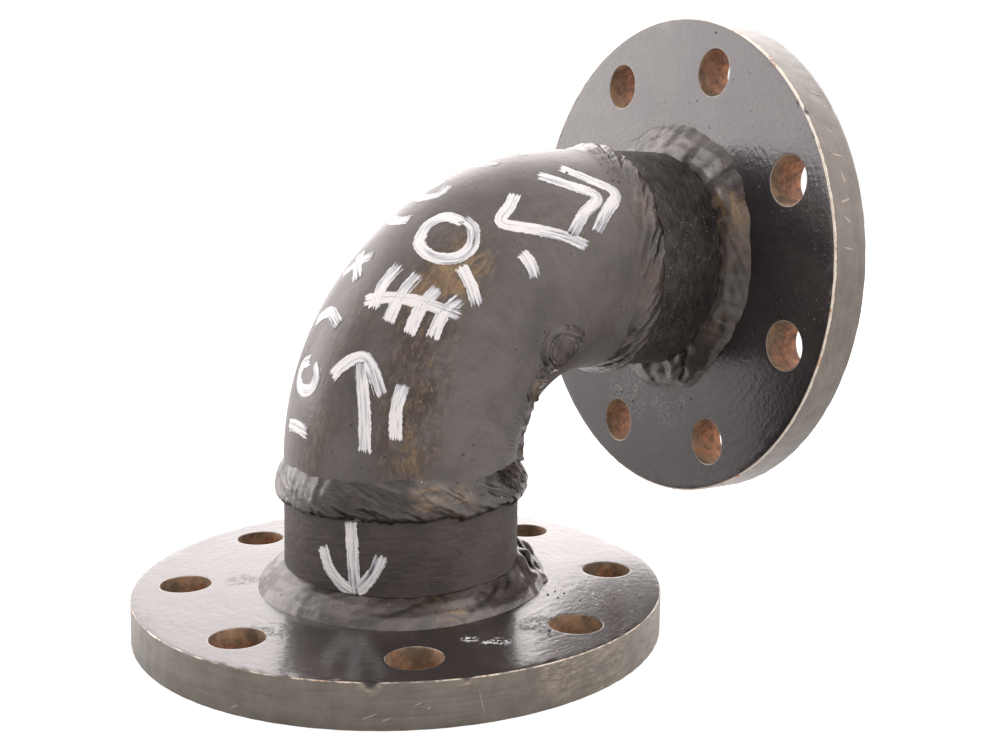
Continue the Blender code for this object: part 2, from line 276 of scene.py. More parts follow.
def sector_grid():
    """Points of one drilled sector, from its border in the gasket face through the hole to the back face.

    A point of a face lies a share of the way from the hole's rounded lip to the border.
    """
    border_x, border_y = sector_border()
    bearing = np.arctan2(border_y, border_x - BOLT_CIRCLE_RADIUS)
    rows = []

    def face_row(share, z, hole_radius):
        hole_x = BOLT_CIRCLE_RADIUS + hole_radius * np.cos(bearing)
        hole_y = hole_radius * np.sin(bearing)
        x = hole_x + share * (border_x - hole_x)
        y = hole_y + share * (border_y - hole_y)
        rows.append(np.stack([x, y, np.full_like(x, z)], axis=-1))

    for share in np.linspace(1, 0, FACE_STEPS + 1):
        face_row(share ** CROWDING, 0, BOLT_HOLE_RADIUS + LIP_ROUND)
    for turn in np.linspace(0, pi / 2, LIP_STEPS + 1)[1:]:
        face_row(0, LIP_ROUND * (1 - cos(turn)), BOLT_HOLE_RADIUS + LIP_ROUND * (1 - sin(turn)))
    for turn in np.linspace(pi / 2, 0, LIP_STEPS + 1):
        height = PLATE_THICKNESS - LIP_ROUND * (1 - cos(turn))
        face_row(0, height, BOLT_HOLE_RADIUS + LIP_ROUND * (1 - sin(turn)))
    for share in np.linspace(0, 1, FACE_STEPS + 1)[1:]:
        face_row(share ** CROWDING, PLATE_THICKNESS, BOLT_HOLE_RADIUS + LIP_ROUND)
    return np.array(rows)


def rim_grid(nicks, seed):
    """Rim with rounded edges, slightly uneven, with nicks in its back edge at (angle, width, depth).

    Its first and last rows stay where the flat faces end.
    """
    angle = np.linspace(-SECTOR / 2, tau - SECTOR / 2, RIM_STEPS * BOLT_COUNT, endpoint=False)[None, :]
    corner = np.linspace(0, pi / 2, CORNER_STEPS)
    body = np.linspace(EDGE_ROUND, PLATE_THICKNESS - EDGE_ROUND, RIM_ROWS)[1:-1]
    inset = EDGE_ROUND * (1 - np.concatenate([np.sin(corner), np.ones_like(body), np.cos(corner)]))
    low = EDGE_ROUND * (1 - np.cos(corner))
    high = PLATE_THICKNESS - EDGE_ROUND * (1 - np.sin(corner))
    height = np.concatenate([low, body, high])[:, None]
    free = np.ones_like(height)
    free[[0, -1]] = 0
    dent = RIM_DENT * np.maximum(1 + waves(angle, height * 300, seed, turns=(20, 90)), 0)
    below_edge = (PLATE_THICKNESS - height) / NICK_REACH
    for place, width, depth in nicks:
        beside = angle_between(angle, place) * PLATE_RADIUS
        dent = dent + depth * bell(beside, width) * bell(below_edge, 1)
    return turned(PLATE_RADIUS - inset[:, None] - dent * free, height, angle)


def drilled_plate(nicks, turn, seed):
    """Points and quads of the whole plate: its sectors, rim and bore, joined where they meet."""
    sector = sector_grid()
    start = SECTOR / 2 + turn
    rim = rim_grid([(place - start, *rest) for place, *rest in nicks], seed)
    bore_angles = np.linspace(-SECTOR / 2, tau - SECTOR / 2, BORE_STEPS * BOLT_COUNT, endpoint=False)[None, :]
    bore_heights = np.linspace(0, PLATE_THICKNESS, BORE_ROWS)[:, None]
    bore = turned(PLATE_BORE_RADIUS, bore_heights, bore_angles)
    parts = [(sector, start + index * SECTOR, True) for index in range(BOLT_COUNT)]
    parts += [(rim, start, False), (bore, start, True)]
    points, faces = [], []
    for grid, angle, faces_inward in parts:
        quads = grid_faces(*grid.shape[:2]) + sum(map(len, points))
        faces.append(quads[:, ::-1] if faces_inward else quads)
        points.append(spun(grid, angle).reshape(-1, 3))
    return joined(np.concatenate(points), np.concatenate(faces))


# Pipes

PIPE_STEPS = 180
BEND_ROWS = 170
BEND_BORE_ROWS = 70
STUB_ROWS = 40
STUB_BORE_ROWS = 24
BASE_STUB_SEED = 21
SIDE_STUB_SEED = 22


def bend_swell(along, angle):
    """Uneven surface of the forged bend, in metres of radius."""
    return 0.10 * MM * waves(angle, along / BEND_RADIUS * 4, 3, turns=(1, 6), spread=2.5)


def bend_surface(material):
    """Whole tube of the bend: outer surface, bevelled ends and bore."""
    outer = np.linspace(BEVEL_RUN, BEND_LENGTH - BEVEL_RUN, BEND_ROWS)
    inner = np.linspace(BEND_LENGTH, 0, BEND_BORE_ROWS)
    along = np.concatenate([[0], outer, [BEND_LENGTH], inner])[:, None]
    outside = np.full(BEND_ROWS, PIPE_RADIUS)
    bore = np.full(BEND_BORE_ROWS, BORE_RADIUS)
    radius = np.concatenate([[LAND_RADIUS], outside, [LAND_RADIUS], bore])[:, None]
    angle = ring(PIPE_STEPS)
    radius = radius + np.where(radius == PIPE_RADIUS, bend_swell(along, angle), 0)
    world = bend_to_world(along, radius, angle)
    add_grid("forged_bend", world, turned(radius, along, angle), material, node="elbow")


def pipe_swell(height, angle, seed):
    """Uneven surface of a short pipe, in metres of radius."""
    return 0.05 * MM * waves(angle, height * 120, seed, turns=(1, 7))


def stub_surface(name, run, node, groove, material, seed):
    """Short pipe with a square end in the flange and a bevelled end at the bend."""
    start = STUB_LOW.z
    end = groove - ROOT_GAP / 2
    outer = np.linspace(start, end - BEVEL_RUN, STUB_ROWS)
    height = np.concatenate([outer, [end], np.linspace(end, start, STUB_BORE_ROWS)])[:, None]
    outside = np.full(STUB_ROWS, PIPE_RADIUS)
    bore = np.full(STUB_BORE_ROWS, BORE_RADIUS)
    radius = np.concatenate([outside, [LAND_RADIUS], bore])[:, None]
    angle = ring(PIPE_STEPS)
    radius = radius + np.where(radius == PIPE_RADIUS, pipe_swell(height, angle, seed), 0)
    place = turned(radius, height, angle)
    add_grid(name, run_to_world(place, run), place, material, node=node)


# Welds

# How deep the welds bite into the pipes and the plates, and half the width of a groove weld's root
PIPE_BITE = 0.3 * MM
PLATE_BITE = 0.2 * MM
ROOT_HALF = 1.2 * MM
WELD_STEPS = 1000
SEAL_STEPS = 360
GROOVE_ROWS = 40
FILLET_ROWS = 44


def butt_weld_surface(name, run, node, groove, wander, shape, material, seed):
    """Groove weld whose cap leans to the flange's side and rolls over its own lower toe.

    Across the cap, side runs from -1 at the flange's edge to 1 at the bend's. The cap is a steep wall at
    the flange's edge and a long slope at the bend's. Flow lines run askew along it: cosines that lean
    with side. Laps are steps where one pass of the electrode ends over the next. Shape is the cap's half
    width, its height, the height of its flow lines, the depth of its ragged toe and its number of laps.
    """
    half_width, tallness, flow_size, ragged_size, laps = shape
    angle = ring(WELD_STEPS)
    side = np.linspace(-1, 1, GROOVE_ROWS)[:, None]
    ragged = 0.5 * waves(angle, 0, seed + 1, turns=(4, 24)) + 0.35 * waves(angle, 0, seed + 2, turns=(30, 100))
    middle = groove - wander * np.sin(angle)
    low = middle - half_width * (1 + 0.03 * waves(angle, 0, seed + 3, turns=(1, 6))) - ragged * ragged_size
    high = middle + half_width * (1 + 0.05 * waves(angle, 0, seed + 8, turns=(2, 11)))
    high = high + 0.25 * MM * waves(angle, 0, seed + 9, turns=(8, 40))
    top = -0.38
    below = np.clip((top - side) / (1 + top), 0, 1)
    above = np.clip((side - top) / (1 - top), 0, 1)
    dome = np.where(side < top, (1 - below ** 3.0) ** 0.55, (1 - above ** 1.9) ** 1.25)
    tall = tallness * (1 + 0.10 * waves(angle, side, seed + 4, turns=(1, 7)))
    flow = waves(angle, side, seed + 6, turns=(4, 24), spread=1.5, count=24, lean=0.42)
    fine = waves(angle, side, seed + 7, turns=(18, 64), spread=4.0, count=24, lean=0.30)
    lap_phase = laps * (angle + 0.30 * side + 0.14 * waves(angle, 0, seed + 5, turns=(1, 7))) / tau
    step = 1 - (lap_phase % 1)
    lap = smooth(0, 0.22, step) * step - 0.4
    relief = 0.62 * flow + 0.26 * fine + 0.7 * lap
    near_toe = smooth(-1.0, -0.55, side) * smooth(1.0, 0.2, side)
    height = tall * dome + relief * flow_size * (0.25 + 0.75 * near_toe) * np.sqrt(dome)
    notch = smooth(-0.55, -0.95, side) * np.clip(ragged, 0, 2)
    height = height - notch * 0.5 * MM * np.sqrt(dome)
    radius = PIPE_RADIUS - PIPE_BITE + height
    cap_z = low + (high - low) * (side + 1) / 2 - 0.05 * half_width * np.sin(pi * np.clip(side + 1, 0, 1))
    inner_r = np.array([LAND_RADIUS, BORE_RADIUS, BORE_RADIUS, LAND_RADIUS])[:, None] + 0 * angle
    inner_z = groove + np.array([ROOT_HALF, ROOT_HALF, -ROOT_HALF, -ROOT_HALF])[:, None] + 0 * angle
    place = turned(np.concatenate([radius, inner_r]), np.concatenate([cap_z, inner_z]), angle)
    # Painted shade: the lower toe under the overhanging cap is darkened through the relief attribute, and the root in
    # the bore gets a groove's value.
    painted_toe_shade = smooth(-0.62, -0.97, side) + 0 * angle
    grooves = np.clip(0.5 * relief, -1, 1) * (1 - painted_toe_shade) - 1.2 * painted_toe_shade
    relief = np.concatenate([grooves, np.full_like(inner_r, -0.5)])
    add_grid(name, run_to_world(place, run), place, material, node=node, slot="weld_paint", relief=relief)


def fillet_weld_surface(name, run, node, legs, lumps, crags, lobes, lobe_size, material, seed):
    """Corner weld: legs along the pipe and the flange grow at listed lumps.

    Its face is a bulged slope from the pipe to the flange with two flat bands side by side. Flow lines
    run along it, a little askew. Its foot has soft lobes, and crags are places, by angle and spread, where
    the metal is rough and pitted.
    """
    angle = ring(WELD_STEPS)
    share = np.linspace(0, 1, FILLET_ROWS)[:, None]
    up = legs[0] + 0 * angle
    out = legs[1] + 0 * angle
    for place, spread, pipe_growth, flange_growth in lumps:
        grown = bell(angle_between(angle, place), spread)
        up = up + pipe_growth * grown
        out = out + flange_growth * grown
    rough = 0 * angle
    for place, spread, size in crags:
        rough = rough + size * bell(angle_between(angle, place), spread)
    up = up + (0.28 * lobe_size + 0.35 * MM * rough) * waves(angle, 0, seed + 1, turns=(4, 34))
    lobe_phase = lobes * angle + 1.3 * waves(angle, 0, seed + 3, turns=(1, 5))
    lobe = np.abs(np.sin(lobe_phase / 2)) ** 0.7
    out = out + lobe_size * ((lobe - 0.6) + 0.13 * waves(angle, 0, seed + 4, turns=(20, 70)))
    out = out + 0.5 * rough * MM * waves(angle, 0, seed + 10, turns=(12, 50))
    slope = np.hypot(up, out)
    band = share + 0.05 * waves(angle, 0, seed + 9, turns=(1, 6))
    bands = np.sin(pi * share) + 0.32 * bell(band - 0.30, 0.17) + 0.38 * bell(band - 0.74, 0.15)
    flow = waves(angle, share, seed + 6, turns=(2, 11), spread=3.0, count=22, lean=0.75)
    fine = waves(angle, share, seed + 7, turns=(12, 44), spread=6.0, count=22, lean=0.50)
    lap_phase = (lobe_phase - 0.9 * share) / tau
    step = 1 - (lap_phase % 1)
    lap = smooth(0, 0.12, step) * step - 0.45
    crag = waves(angle, share * 3, seed + 8, turns=(6, 34), spread=4.0, count=26, lean=0.1)
    relief = 0.55 * flow + 0.30 * fine + 0.8 * lap * smooth(0.25, 0.8, share) * lobe_size / MM
    crown = 0.95 * bands + (0.05 + 0.04 * lobe_size / MM) * relief * np.sin(pi * share) ** 0.4
    crown = (crown + 0.8 * rough * crag * np.sin(pi * share) ** 0.5) * MM
    corner_r = np.full((1, WELD_STEPS), PIPE_RADIUS - PIPE_BITE)
    corner_z = np.full((1, WELD_STEPS), PLATE_THICKNESS - PLATE_BITE)
    radius = corner_r + out * share + crown * up / slope
    height = corner_z + up * (1 - share) + crown * out / slope
    height = height + 0.35 * MM * (share ** 12) * (1 - share) * 8
    place = turned(np.concatenate([radius, corner_r]), np.concatenate([height, corner_z]), angle)
    # Painted shade along the toe against the pipe and in the grooves, and painted highlight on the crests, through
    # the relief attribute.
    grooves = np.clip(0.5 * relief + 0.7 * rough * crag, -1, 1) - 0.9 * smooth(0.10, 0.0, share)
    relief = np.concatenate([grooves, np.full_like(corner_r, -0.5)])
    add_grid(name, run_to_world(place, run), place, material, node=node, slot="weld_paint", relief=relief)


THROAT_PATH = ((0, 150), (14, 149), (25, 145.5), (32, 136), (38, 130), (48, 127.5), (59, 123.2), (76, 114))
BIG_CRATER_TURN = radians(59.2)
SMALL_CRATER_TURN = radians(38.3)


def throat_weld_surface(name, node, material, seed):
    """Weld up the throat: a rough ridge, a small crater and a big round crater, as heights over the tube.

    Flat places on the tube are metres along the ridge and across it. Each crater is a raised, slanted oval
    ring round a sunken floor. Where the height falls under nothing the surface is inside the bend.
    """
    turn = np.linspace(0, radians(THROAT_PATH[-1][0]), 330)
    middle = np.interp(np.degrees(turn), *np.array(THROAT_PATH).T)
    middle = radians(1) * np.convolve(np.pad(middle, 20, mode="edge"), np.ones(41) / 41, mode="valid")
    reach = BEND_RADIUS + PIPE_RADIUS * np.cos(middle)
    steps = np.hypot(np.diff(turn) * reach[1:], np.diff(middle) * PIPE_RADIUS)
    travel = np.concatenate([[0], np.cumsum(steps)])
    across = np.linspace(-15, 17, 130)[None, :] * MM
    travel_at = travel[:, None]
    noise = waves(travel_at / (6 * MM), across / (3 * MM), seed, turns=(1, 7), spread=3.0, count=26)
    soft = waves(travel_at / (12 * MM), across / (8 * MM), seed + 1, turns=(1, 4), spread=2.0, count=12)
    height = -0.5 + 0 * across * travel_at
    relief = 0.25 * noise
    calm = 0 * height
    for at, reach_out, rim, width, floor in (
        (BIG_CRATER_TURN, 9.2 * MM, 1.55, 1.0 * MM, 0.66),
        (SMALL_CRATER_TURN, 5.0 * MM, 1.75, 0.9 * MM, 0.75),
    ):
        centre = np.interp(at, turn, travel)
        beyond = 0.96 * (travel_at - centre)
        beside = 0.88 * across - 0.58 * (travel_at - centre)
        bearing = np.arctan2(beside, beyond)
        away = np.hypot(beyond, beside) * (1 + 0.04 * np.cos(2 * bearing + 1) + 0.04 * soft)
        opening = smooth(-1.0, -0.25, np.cos(bearing + 2.3))
        wall = rim * opening * bell(away - reach_out, np.where(away > reach_out, 1.9 * width, width))
        inner = 0.42 * bell(away - reach_out * 0.74, width * 0.45) * smooth(-0.9, -0.1, np.cos(bearing + 2.0))
        height = np.maximum(height, -0.5 + wall + inner + floor * smooth(reach_out * 1.15, reach_out * 0.85, away))
        # Painted light on each crater through the relief attribute: a painted highlight on the rim's crest, painted
        # shade inside it and a painted shadow just outside it.
        relief = relief + 0.5 * opening * bell(away - reach_out, width * 0.7)
        relief = relief - 0.9 * bell(away - reach_out * 0.85, width * 0.5) * (0.3 + 0.7 * opening)
        relief = relief - 1.1 * bell(away - reach_out - 2.6 * width, width * 0.7) * opening
        calm = np.maximum(calm, smooth(reach_out * 1.25, reach_out * 1.05, away))
    small = np.interp(SMALL_CRATER_TURN, turn, travel)
    big = np.interp(BIG_CRATER_TURN, turn, travel)
    low_end = 1 - smooth(small - 5 * MM, small, travel_at)
    tall = 1.7 + 0.9 * smooth(9 * MM, 3 * MM, travel_at) + 0.10 * np.sin(travel_at / (0.9 * MM) + across / (2 * MM))
    ridge = tall * bell(across + 1.5 * MM, 4.0 * MM) * low_end
    link = smooth(small, small + 4 * MM, travel_at) * (1 - smooth(big - 9 * MM, big - 6 * MM, travel_at))
    lobes = np.abs(np.sin(travel_at / (1.9 * MM) - across / (3.4 * MM) + 0.5 * soft)) ** 0.6
    ridge = np.maximum(ridge, (1.7 + 0.9 * lobes) * bell(across + 1.5 * MM, 4.6 * MM) * link)
    height = np.maximum(height, ridge - 0.5)
    # The ridge's lobes get painted highlight on their crests and painted shade between them.
    relief = relief * (1 - 0.5 * calm) + (1.1 * lobes - 0.9) * link * (1 - calm)
    rough = 1 - calm
    height = height + ((0.04 + 0.20 * rough) * noise + (0.02 + 0.12 * rough) * soft) * smooth(-0.5, 0.4, height)
    angle = middle[:, None] + across / PIPE_RADIUS
    along = BASE_TANGENT + turn[:, None] * BEND_RADIUS
    radius = PIPE_RADIUS + bend_swell(along, angle) + height * MM
    under = np.full_like(radius, PIPE_RADIUS - 1.2 * MM)
    radius = np.concatenate([radius, under], axis=1)
    angle = np.concatenate([angle, angle[:, ::-1]], axis=1)
    relief = np.concatenate([relief, relief[:, ::-1]], axis=1).reshape(-1)
    world = bend_to_world(along, radius, angle)
    place = turned(radius, along, angle)
    faces = capped_faces(*radius.shape)
    add_piece(name, world.reshape(-1, 3), faces, place.reshape(-1, 3), material, node, "weld_paint", relief)


def seal_weld_surface(name, run, node, material, seed):
    """Small rippled fillet in the flange's bore, on the stub's end."""
    angle = ring(SEAL_STEPS)
    share = np.linspace(0, 1, 12)[:, None]
    leg = 4.0 * MM
    wall = PLATE_BORE_RADIUS
    floor = STUB_LOW.z
    inner = BORE_RADIUS + 1.5 * MM
    phase = 60 * angle + 2 * share + 2 * waves(angle, 0, seed, turns=(1, 5))
    ripple = 0.12 * MM * np.sin(phase) * np.sin(pi * share)
    crown = 0.5 * MM * np.sin(pi * share) + ripple
    radius = inner + (wall - inner) * share - crown * 0.6
    height = floor - leg * share - crown * 0.6
    radius = np.concatenate([radius, [[wall] * SEAL_STEPS]])
    height = np.concatenate([height, [[floor] * SEAL_STEPS]])
    place = turned(radius, height, angle)
    add_grid(name, run_to_world(place, run), place, material, node=node, slot="bare_weld")


# Brushed marks

MARK_WIDTH = 5.4 * MM
MARK_THICKNESS = 0.16 * MM
MARK_DEPTH = 0.25 * MM

# Each stroke: middle of its mark along the bend in mm and round it in degrees, then points right and up
# of it in mm
MARKS = (
    ("lower_arrow", 24, 41, ((5, -17), (2, -2), (-5, 15))),
    ("lower_arrow", 24, 41, ((-15, 6), (-11, 12), (-5, 16), (1, 12), (7, 4))),
    ("lower_arrow", 24, 41, ((15, -10), (13, 2), (13, 11))),
    ("tally", 52, 43, ((-11, -9), (-13, 1), (-12, 11))),
    ("tally", 52, 43, ((-3, -11), (-4, 0), (-3, 11))),
    ("tally", 52, 43, ((6, -11), (5, 0), (6, 10))),
    ("tally", 52, 43, ((14, -8), (13, 2), (15, 11))),
    ("tally", 52, 43, ((-17, -7), (-2, 0), (19, 5))),
    ("ring", 71, 36, ((1, 9), (-7, 7), (-10, 0), (-6, -8), (2, -9), (9, -4), (10, 3), (5, 9), (-2, 10))),
    ("ring", 71, 36, ((12, -5), (20, -8), (27, -12))),
    ("tick", 90, 57, ((-15, 5), (-11, -1), (-7, -8), (2, 1), (9, 10), (16, 17))),
    ("tick", 90, 57, ((6, -9), (12, -8), (18, -9))),
    ("upper_arrow", 110, 50, ((-14, -12), (-5, -3), (3, 6), (9, -3), (16, -12))),
    ("upper_arrow", 110, 50, ((-15, -1), (-6, 7), (2, 15), (10, 7), (17, -1))),
    ("back_row", 14, 3, ((-9, 0), (0, 1), (9, 0))),
    ("back_row", 27, 3, ((0, 5), (-6, 3), (-7, -2), (-2, -6), (5, -5), (7, 0), (3, 5))),
    ("back_row", 41, 2, ((-10, -3), (0, 2), (10, -2))),
    ("back_row", 55, 1, ((-9, -5), (-2, 1), (6, 6))),
    ("back_row", 55, 1, ((-6, 6), (0, 0), (7, -6))),
    ("back_row", 70, 0, ((-9, 1), (0, -1), (9, 1))),
    ("back_row", 82, 0, ((0, 5), (-7, 2), (-6, -4), (1, -6), (7, -2), (5, 4))),
    ("back_row", 97, -1, ((-10, 2), (0, -2), (10, 2))),
    ("back_row", 108, -1, ((-8, -4), (0, 2), (8, -3))),
)
STUB_MARKS = (
    ("stub_arrow", 37, 42, ((-1, 14), (0, 0), (1, -14))),
    ("stub_arrow", 37, 42, ((-13, 3), (-9, -6), (0, -12), (7, -6), (11, 2))),
)


def smooth_path(corners, count):
    """Catmull-Rom curve through the corners: each span is a cubic whose ends take the neighbours' slope."""
    points = np.array(corners, dtype=float)
    padded = np.concatenate([2 * points[:1] - points[1:2], points, 2 * points[-1:] - points[-2:-1]])
    at = np.linspace(0, len(points) - 1, count)
    span = np.minimum(at.astype(int), len(points) - 2)
    t = (at - span)[:, None]
    a, b, c, d = (padded[span + offset] for offset in range(4))
    return 0.5 * (2 * b + (c - a) * t + (2 * a - 5 * b + 4 * c - d) * t**2 + (3 * b - a - 3 * c + d) * t**3)


def stroke_ribbon(corners, middle_along, middle_angle, curved, seed):
    """Flat closed ribbon along a path, as along, angle round the pipe, height and stroke place.

    Each row is a ring: its top from side to side and its hidden underside back.

    Right and up on the mark are metres round the pipe and along it. On the bend a metre along the middle
    is longer on the outside and shorter in the throat.
    """
    path = smooth_path(corners, 12 + 9 * len(corners)) * MM
    slope = np.gradient(path, axis=0)
    length = np.concatenate([[0], np.cumsum(np.hypot(*np.diff(path, axis=0).T))])
    slope = slope / np.hypot(*slope.T)[:, None]
    rng = np.random.default_rng(seed)
    side = np.linspace(-1, 1, 11)
    swell = 1 + 0.10 * np.sin(length / (3 * MM) + rng.uniform(0, tau)) + 0.07 * np.sin(length / (1.1 * MM))
    half = (MARK_WIDTH / 2 * swell)[:, None] * side[None, :]
    right = path[:, :1] - slope[:, 1:] * half
    up = path[:, 1:] + slope[:, :1] * half
    angle = middle_angle + right / PIPE_RADIUS
    stretch = (BEND_RADIUS + PIPE_RADIUS * np.cos(angle)) / BEND_RADIUS if curved else 1.0
    along = middle_along + up / stretch
    bristles = 0.03 * MM * np.sin(side * 11 + rng.uniform(0, tau))[None, :]
    height = MARK_THICKNESS * (1 - side[None, :] ** 6) + bristles * (1 - side[None, :] ** 4) - 0.03 * MM
    ends = smooth(0, 0.8 * MM, length) * (1 - smooth(length[-1] - 0.8 * MM, length[-1], length))
    height = (height + 0.03 * MM) * ends[:, None] - 0.03 * MM
    stroke = np.stack([length[:, None] + 0 * half, half, np.full_like(half, length[-1])], axis=-1)
    height = np.concatenate([height, np.full_like(height, -MARK_DEPTH)], axis=1)
    along, angle, stroke = (np.concatenate([part, part[:, ::-1]], axis=1) for part in (along, angle, stroke))
    return along, angle, height, stroke


def add_marks(bend_paint_white, stub_paint_white):
    """All brushed marks of the bend and of the base pipe, one piece for each mark."""
    for marks, on_bend, material in ((MARKS, True, bend_paint_white), (STUB_MARKS, False, stub_paint_white)):
        for title in dict.fromkeys(mark[0] for mark in marks):
            worlds, places, strokes, faces = [], [], [], []
            offset = 0
            for index, (name, along, angle, corners) in enumerate(marks):
                if name != title:
                    continue
                middle = (along * MM, radians(angle))
                a, phi, height, stroke = stroke_ribbon(corners, *middle, on_bend, 500 + index)
                if on_bend:
                    radius = PIPE_RADIUS + bend_swell(a, phi) + height
                    world = bend_to_world(a, radius, phi)
                    place = turned(radius, a, phi)
                else:
                    radius = PIPE_RADIUS + pipe_swell(a, pi + phi, BASE_STUB_SEED) + height
                    place = turned(radius, a, pi + phi)
                    world = run_to_world(place, "base")
                faces.append(capped_faces(*world.shape[:2]) + offset)
                offset += world.shape[0] * world.shape[1]
                worlds.append(world.reshape(-1, 3))
                places.append(place.reshape(-1, 3))
                strokes.append(stroke.reshape(-1, 3))
            world, faces, place, stroke = map(np.concatenate, (worlds, faces, places, strokes))
            add_piece(title + "_mark", world, faces, place, material, stroke=stroke)


# Spatter and punch ticks

# Groups of drops: run or bend, middle as radius or distance along in mm and angle in degrees, spread in
# mm, count
DROPS = (
    ("side", 67, 105, 9, 4),
    ("side", 67, 66, 10, 5),
    ("side", 70, -152, 9, 3),
    ("side", 84, -110, 16, 3),
    ("base", 66, -45, 9, 6),
    ("base", 86, -44, 9, 3),
    ("base", 80, -78, 7, 3),
    ("base", 72, -94, 7, 2),
    ("base", 66, 60, 22, 6),
    ("bend", 8, 95, 12, 8),
    ("bend", 118, 40, 12, 7),
    ("bend", 60, 105, 14, 5),
    ("bend", 10, 50, 20, 6),
    ("bend", 90, 230, 40, 12),
)
# Ticks and scratches of a rim: angle round it in degrees, height from the gasket face in mm, lean in
# radians, length and width in mm
SIDE_TICKS = (
    (-139, 6, 0.5, 5, 0.8),
    (-143, 6, -0.2, 5, 0.8),
    (-149, 8, 0.9, 4, 0.8),
    (-155, 8, 0.1, 5, 0.8),
    (-160, 8, 1.3, 4, 0.8),
    (-165, 9, -0.3, 5, 0.8),
    (-169, 9, 0.7, 4, 0.8),
    (-175, 9, 0.2, 5, 0.8),
)
BASE_TICKS = (
    (-147, 3, 1.1, 4, 0.4),
    (-121, 5, 1.2, 5, 0.4),
    (-118, 4, 1.2, 3, 0.5),
    (-112, 9, 1.3, 4, 0.4),
    (-111, 7, 1.2, 3, 0.4),
    (-101, 7, -0.25, 9, 0.3),
)


def add_spatter(material):
    """Drops of weld metal as low domes: each ring of a dome is a circle, a little oval, over a sunken base."""
    rng = np.random.default_rng(91)
    dome = [(0.0, 1.0), (0.35, 0.93), (0.65, 0.72), (0.88, 0.38), (1.0, 0.0)]
    profile = np.array(dome + [(0.95, -0.5), (0.0, -0.5)])
    around = np.linspace(0, tau, 12, endpoint=False)
    points, faces = [], []
    for surface, first, degrees_round, spread, count in DROPS:
        for _ in range(count):
            size = rng.uniform(0.25, 0.75) * MM
            right, up = rng.normal(0, spread * MM / 2, 2)
            oval = rng.uniform(0.75, 1.0)
            x = right + size * profile[:, :1] * np.cos(around)
            y = up + size * profile[:, :1] * np.sin(around) * oval
            height = 0.55 * size * profile[:, 1:] + 0 * x
            start = radians(degrees_round)
            if surface == "bend":
                along = first * MM + y
                angle = start + x / PIPE_RADIUS
                world = bend_to_world(along, PIPE_RADIUS + bend_swell(along, angle) + height, angle)
            else:
                radius = first * MM + y
                flat = turned(radius, PLATE_THICKNESS + height, start + x / (first * MM))
                world = run_to_world(flat, surface)
            quads = grid_faces(*x.shape) + sum(map(len, points))
            points.append(world.reshape(-1, 3))
            faces.append(quads)
    points, faces = joined(np.concatenate(points), np.concatenate(faces))
    add_piece("weld_spatter", points, faces, points, material, slot="weld_paint", relief=np.zeros(len(points)))


def add_rim_ticks(name, run, ticks, material):
    """Plain straight ticks on a plate's rim, as thin closed bars with pointed ends."""
    points, faces = [], []
    side = np.array([-1.0, -0.4, 0.4, 1.0])[None, :]
    share = np.linspace(0, 1, 9)[:, None]
    for degrees_round, height, lean, length, width in ticks:
        half = width / 2 * MM * np.sin(pi * np.clip(share, 0.03, 0.97)) ** 0.5 * side
        middle = (share - 0.5) * length * MM
        right = middle * sin(lean) + half * cos(lean)
        up = middle * cos(lean) - half * sin(lean)
        angle = radians(degrees_round) + np.concatenate([right, right[:, ::-1]], axis=1) / PLATE_RADIUS
        z = height * MM + np.concatenate([up, up[:, ::-1]], axis=1)
        radius = PLATE_RADIUS - np.repeat([0.01 * MM, 0.6 * MM], 4)[None, :] + 0 * z
        faces.append(capped_faces(*z.shape) + sum(map(len, points)))
        points.append(turned(radius, z, angle).reshape(-1, 3))
    points = np.concatenate(points)
    add_piece(name, run_to_world(points, run), np.concatenate(faces), points, material, slot="plate_paint")


# Materials


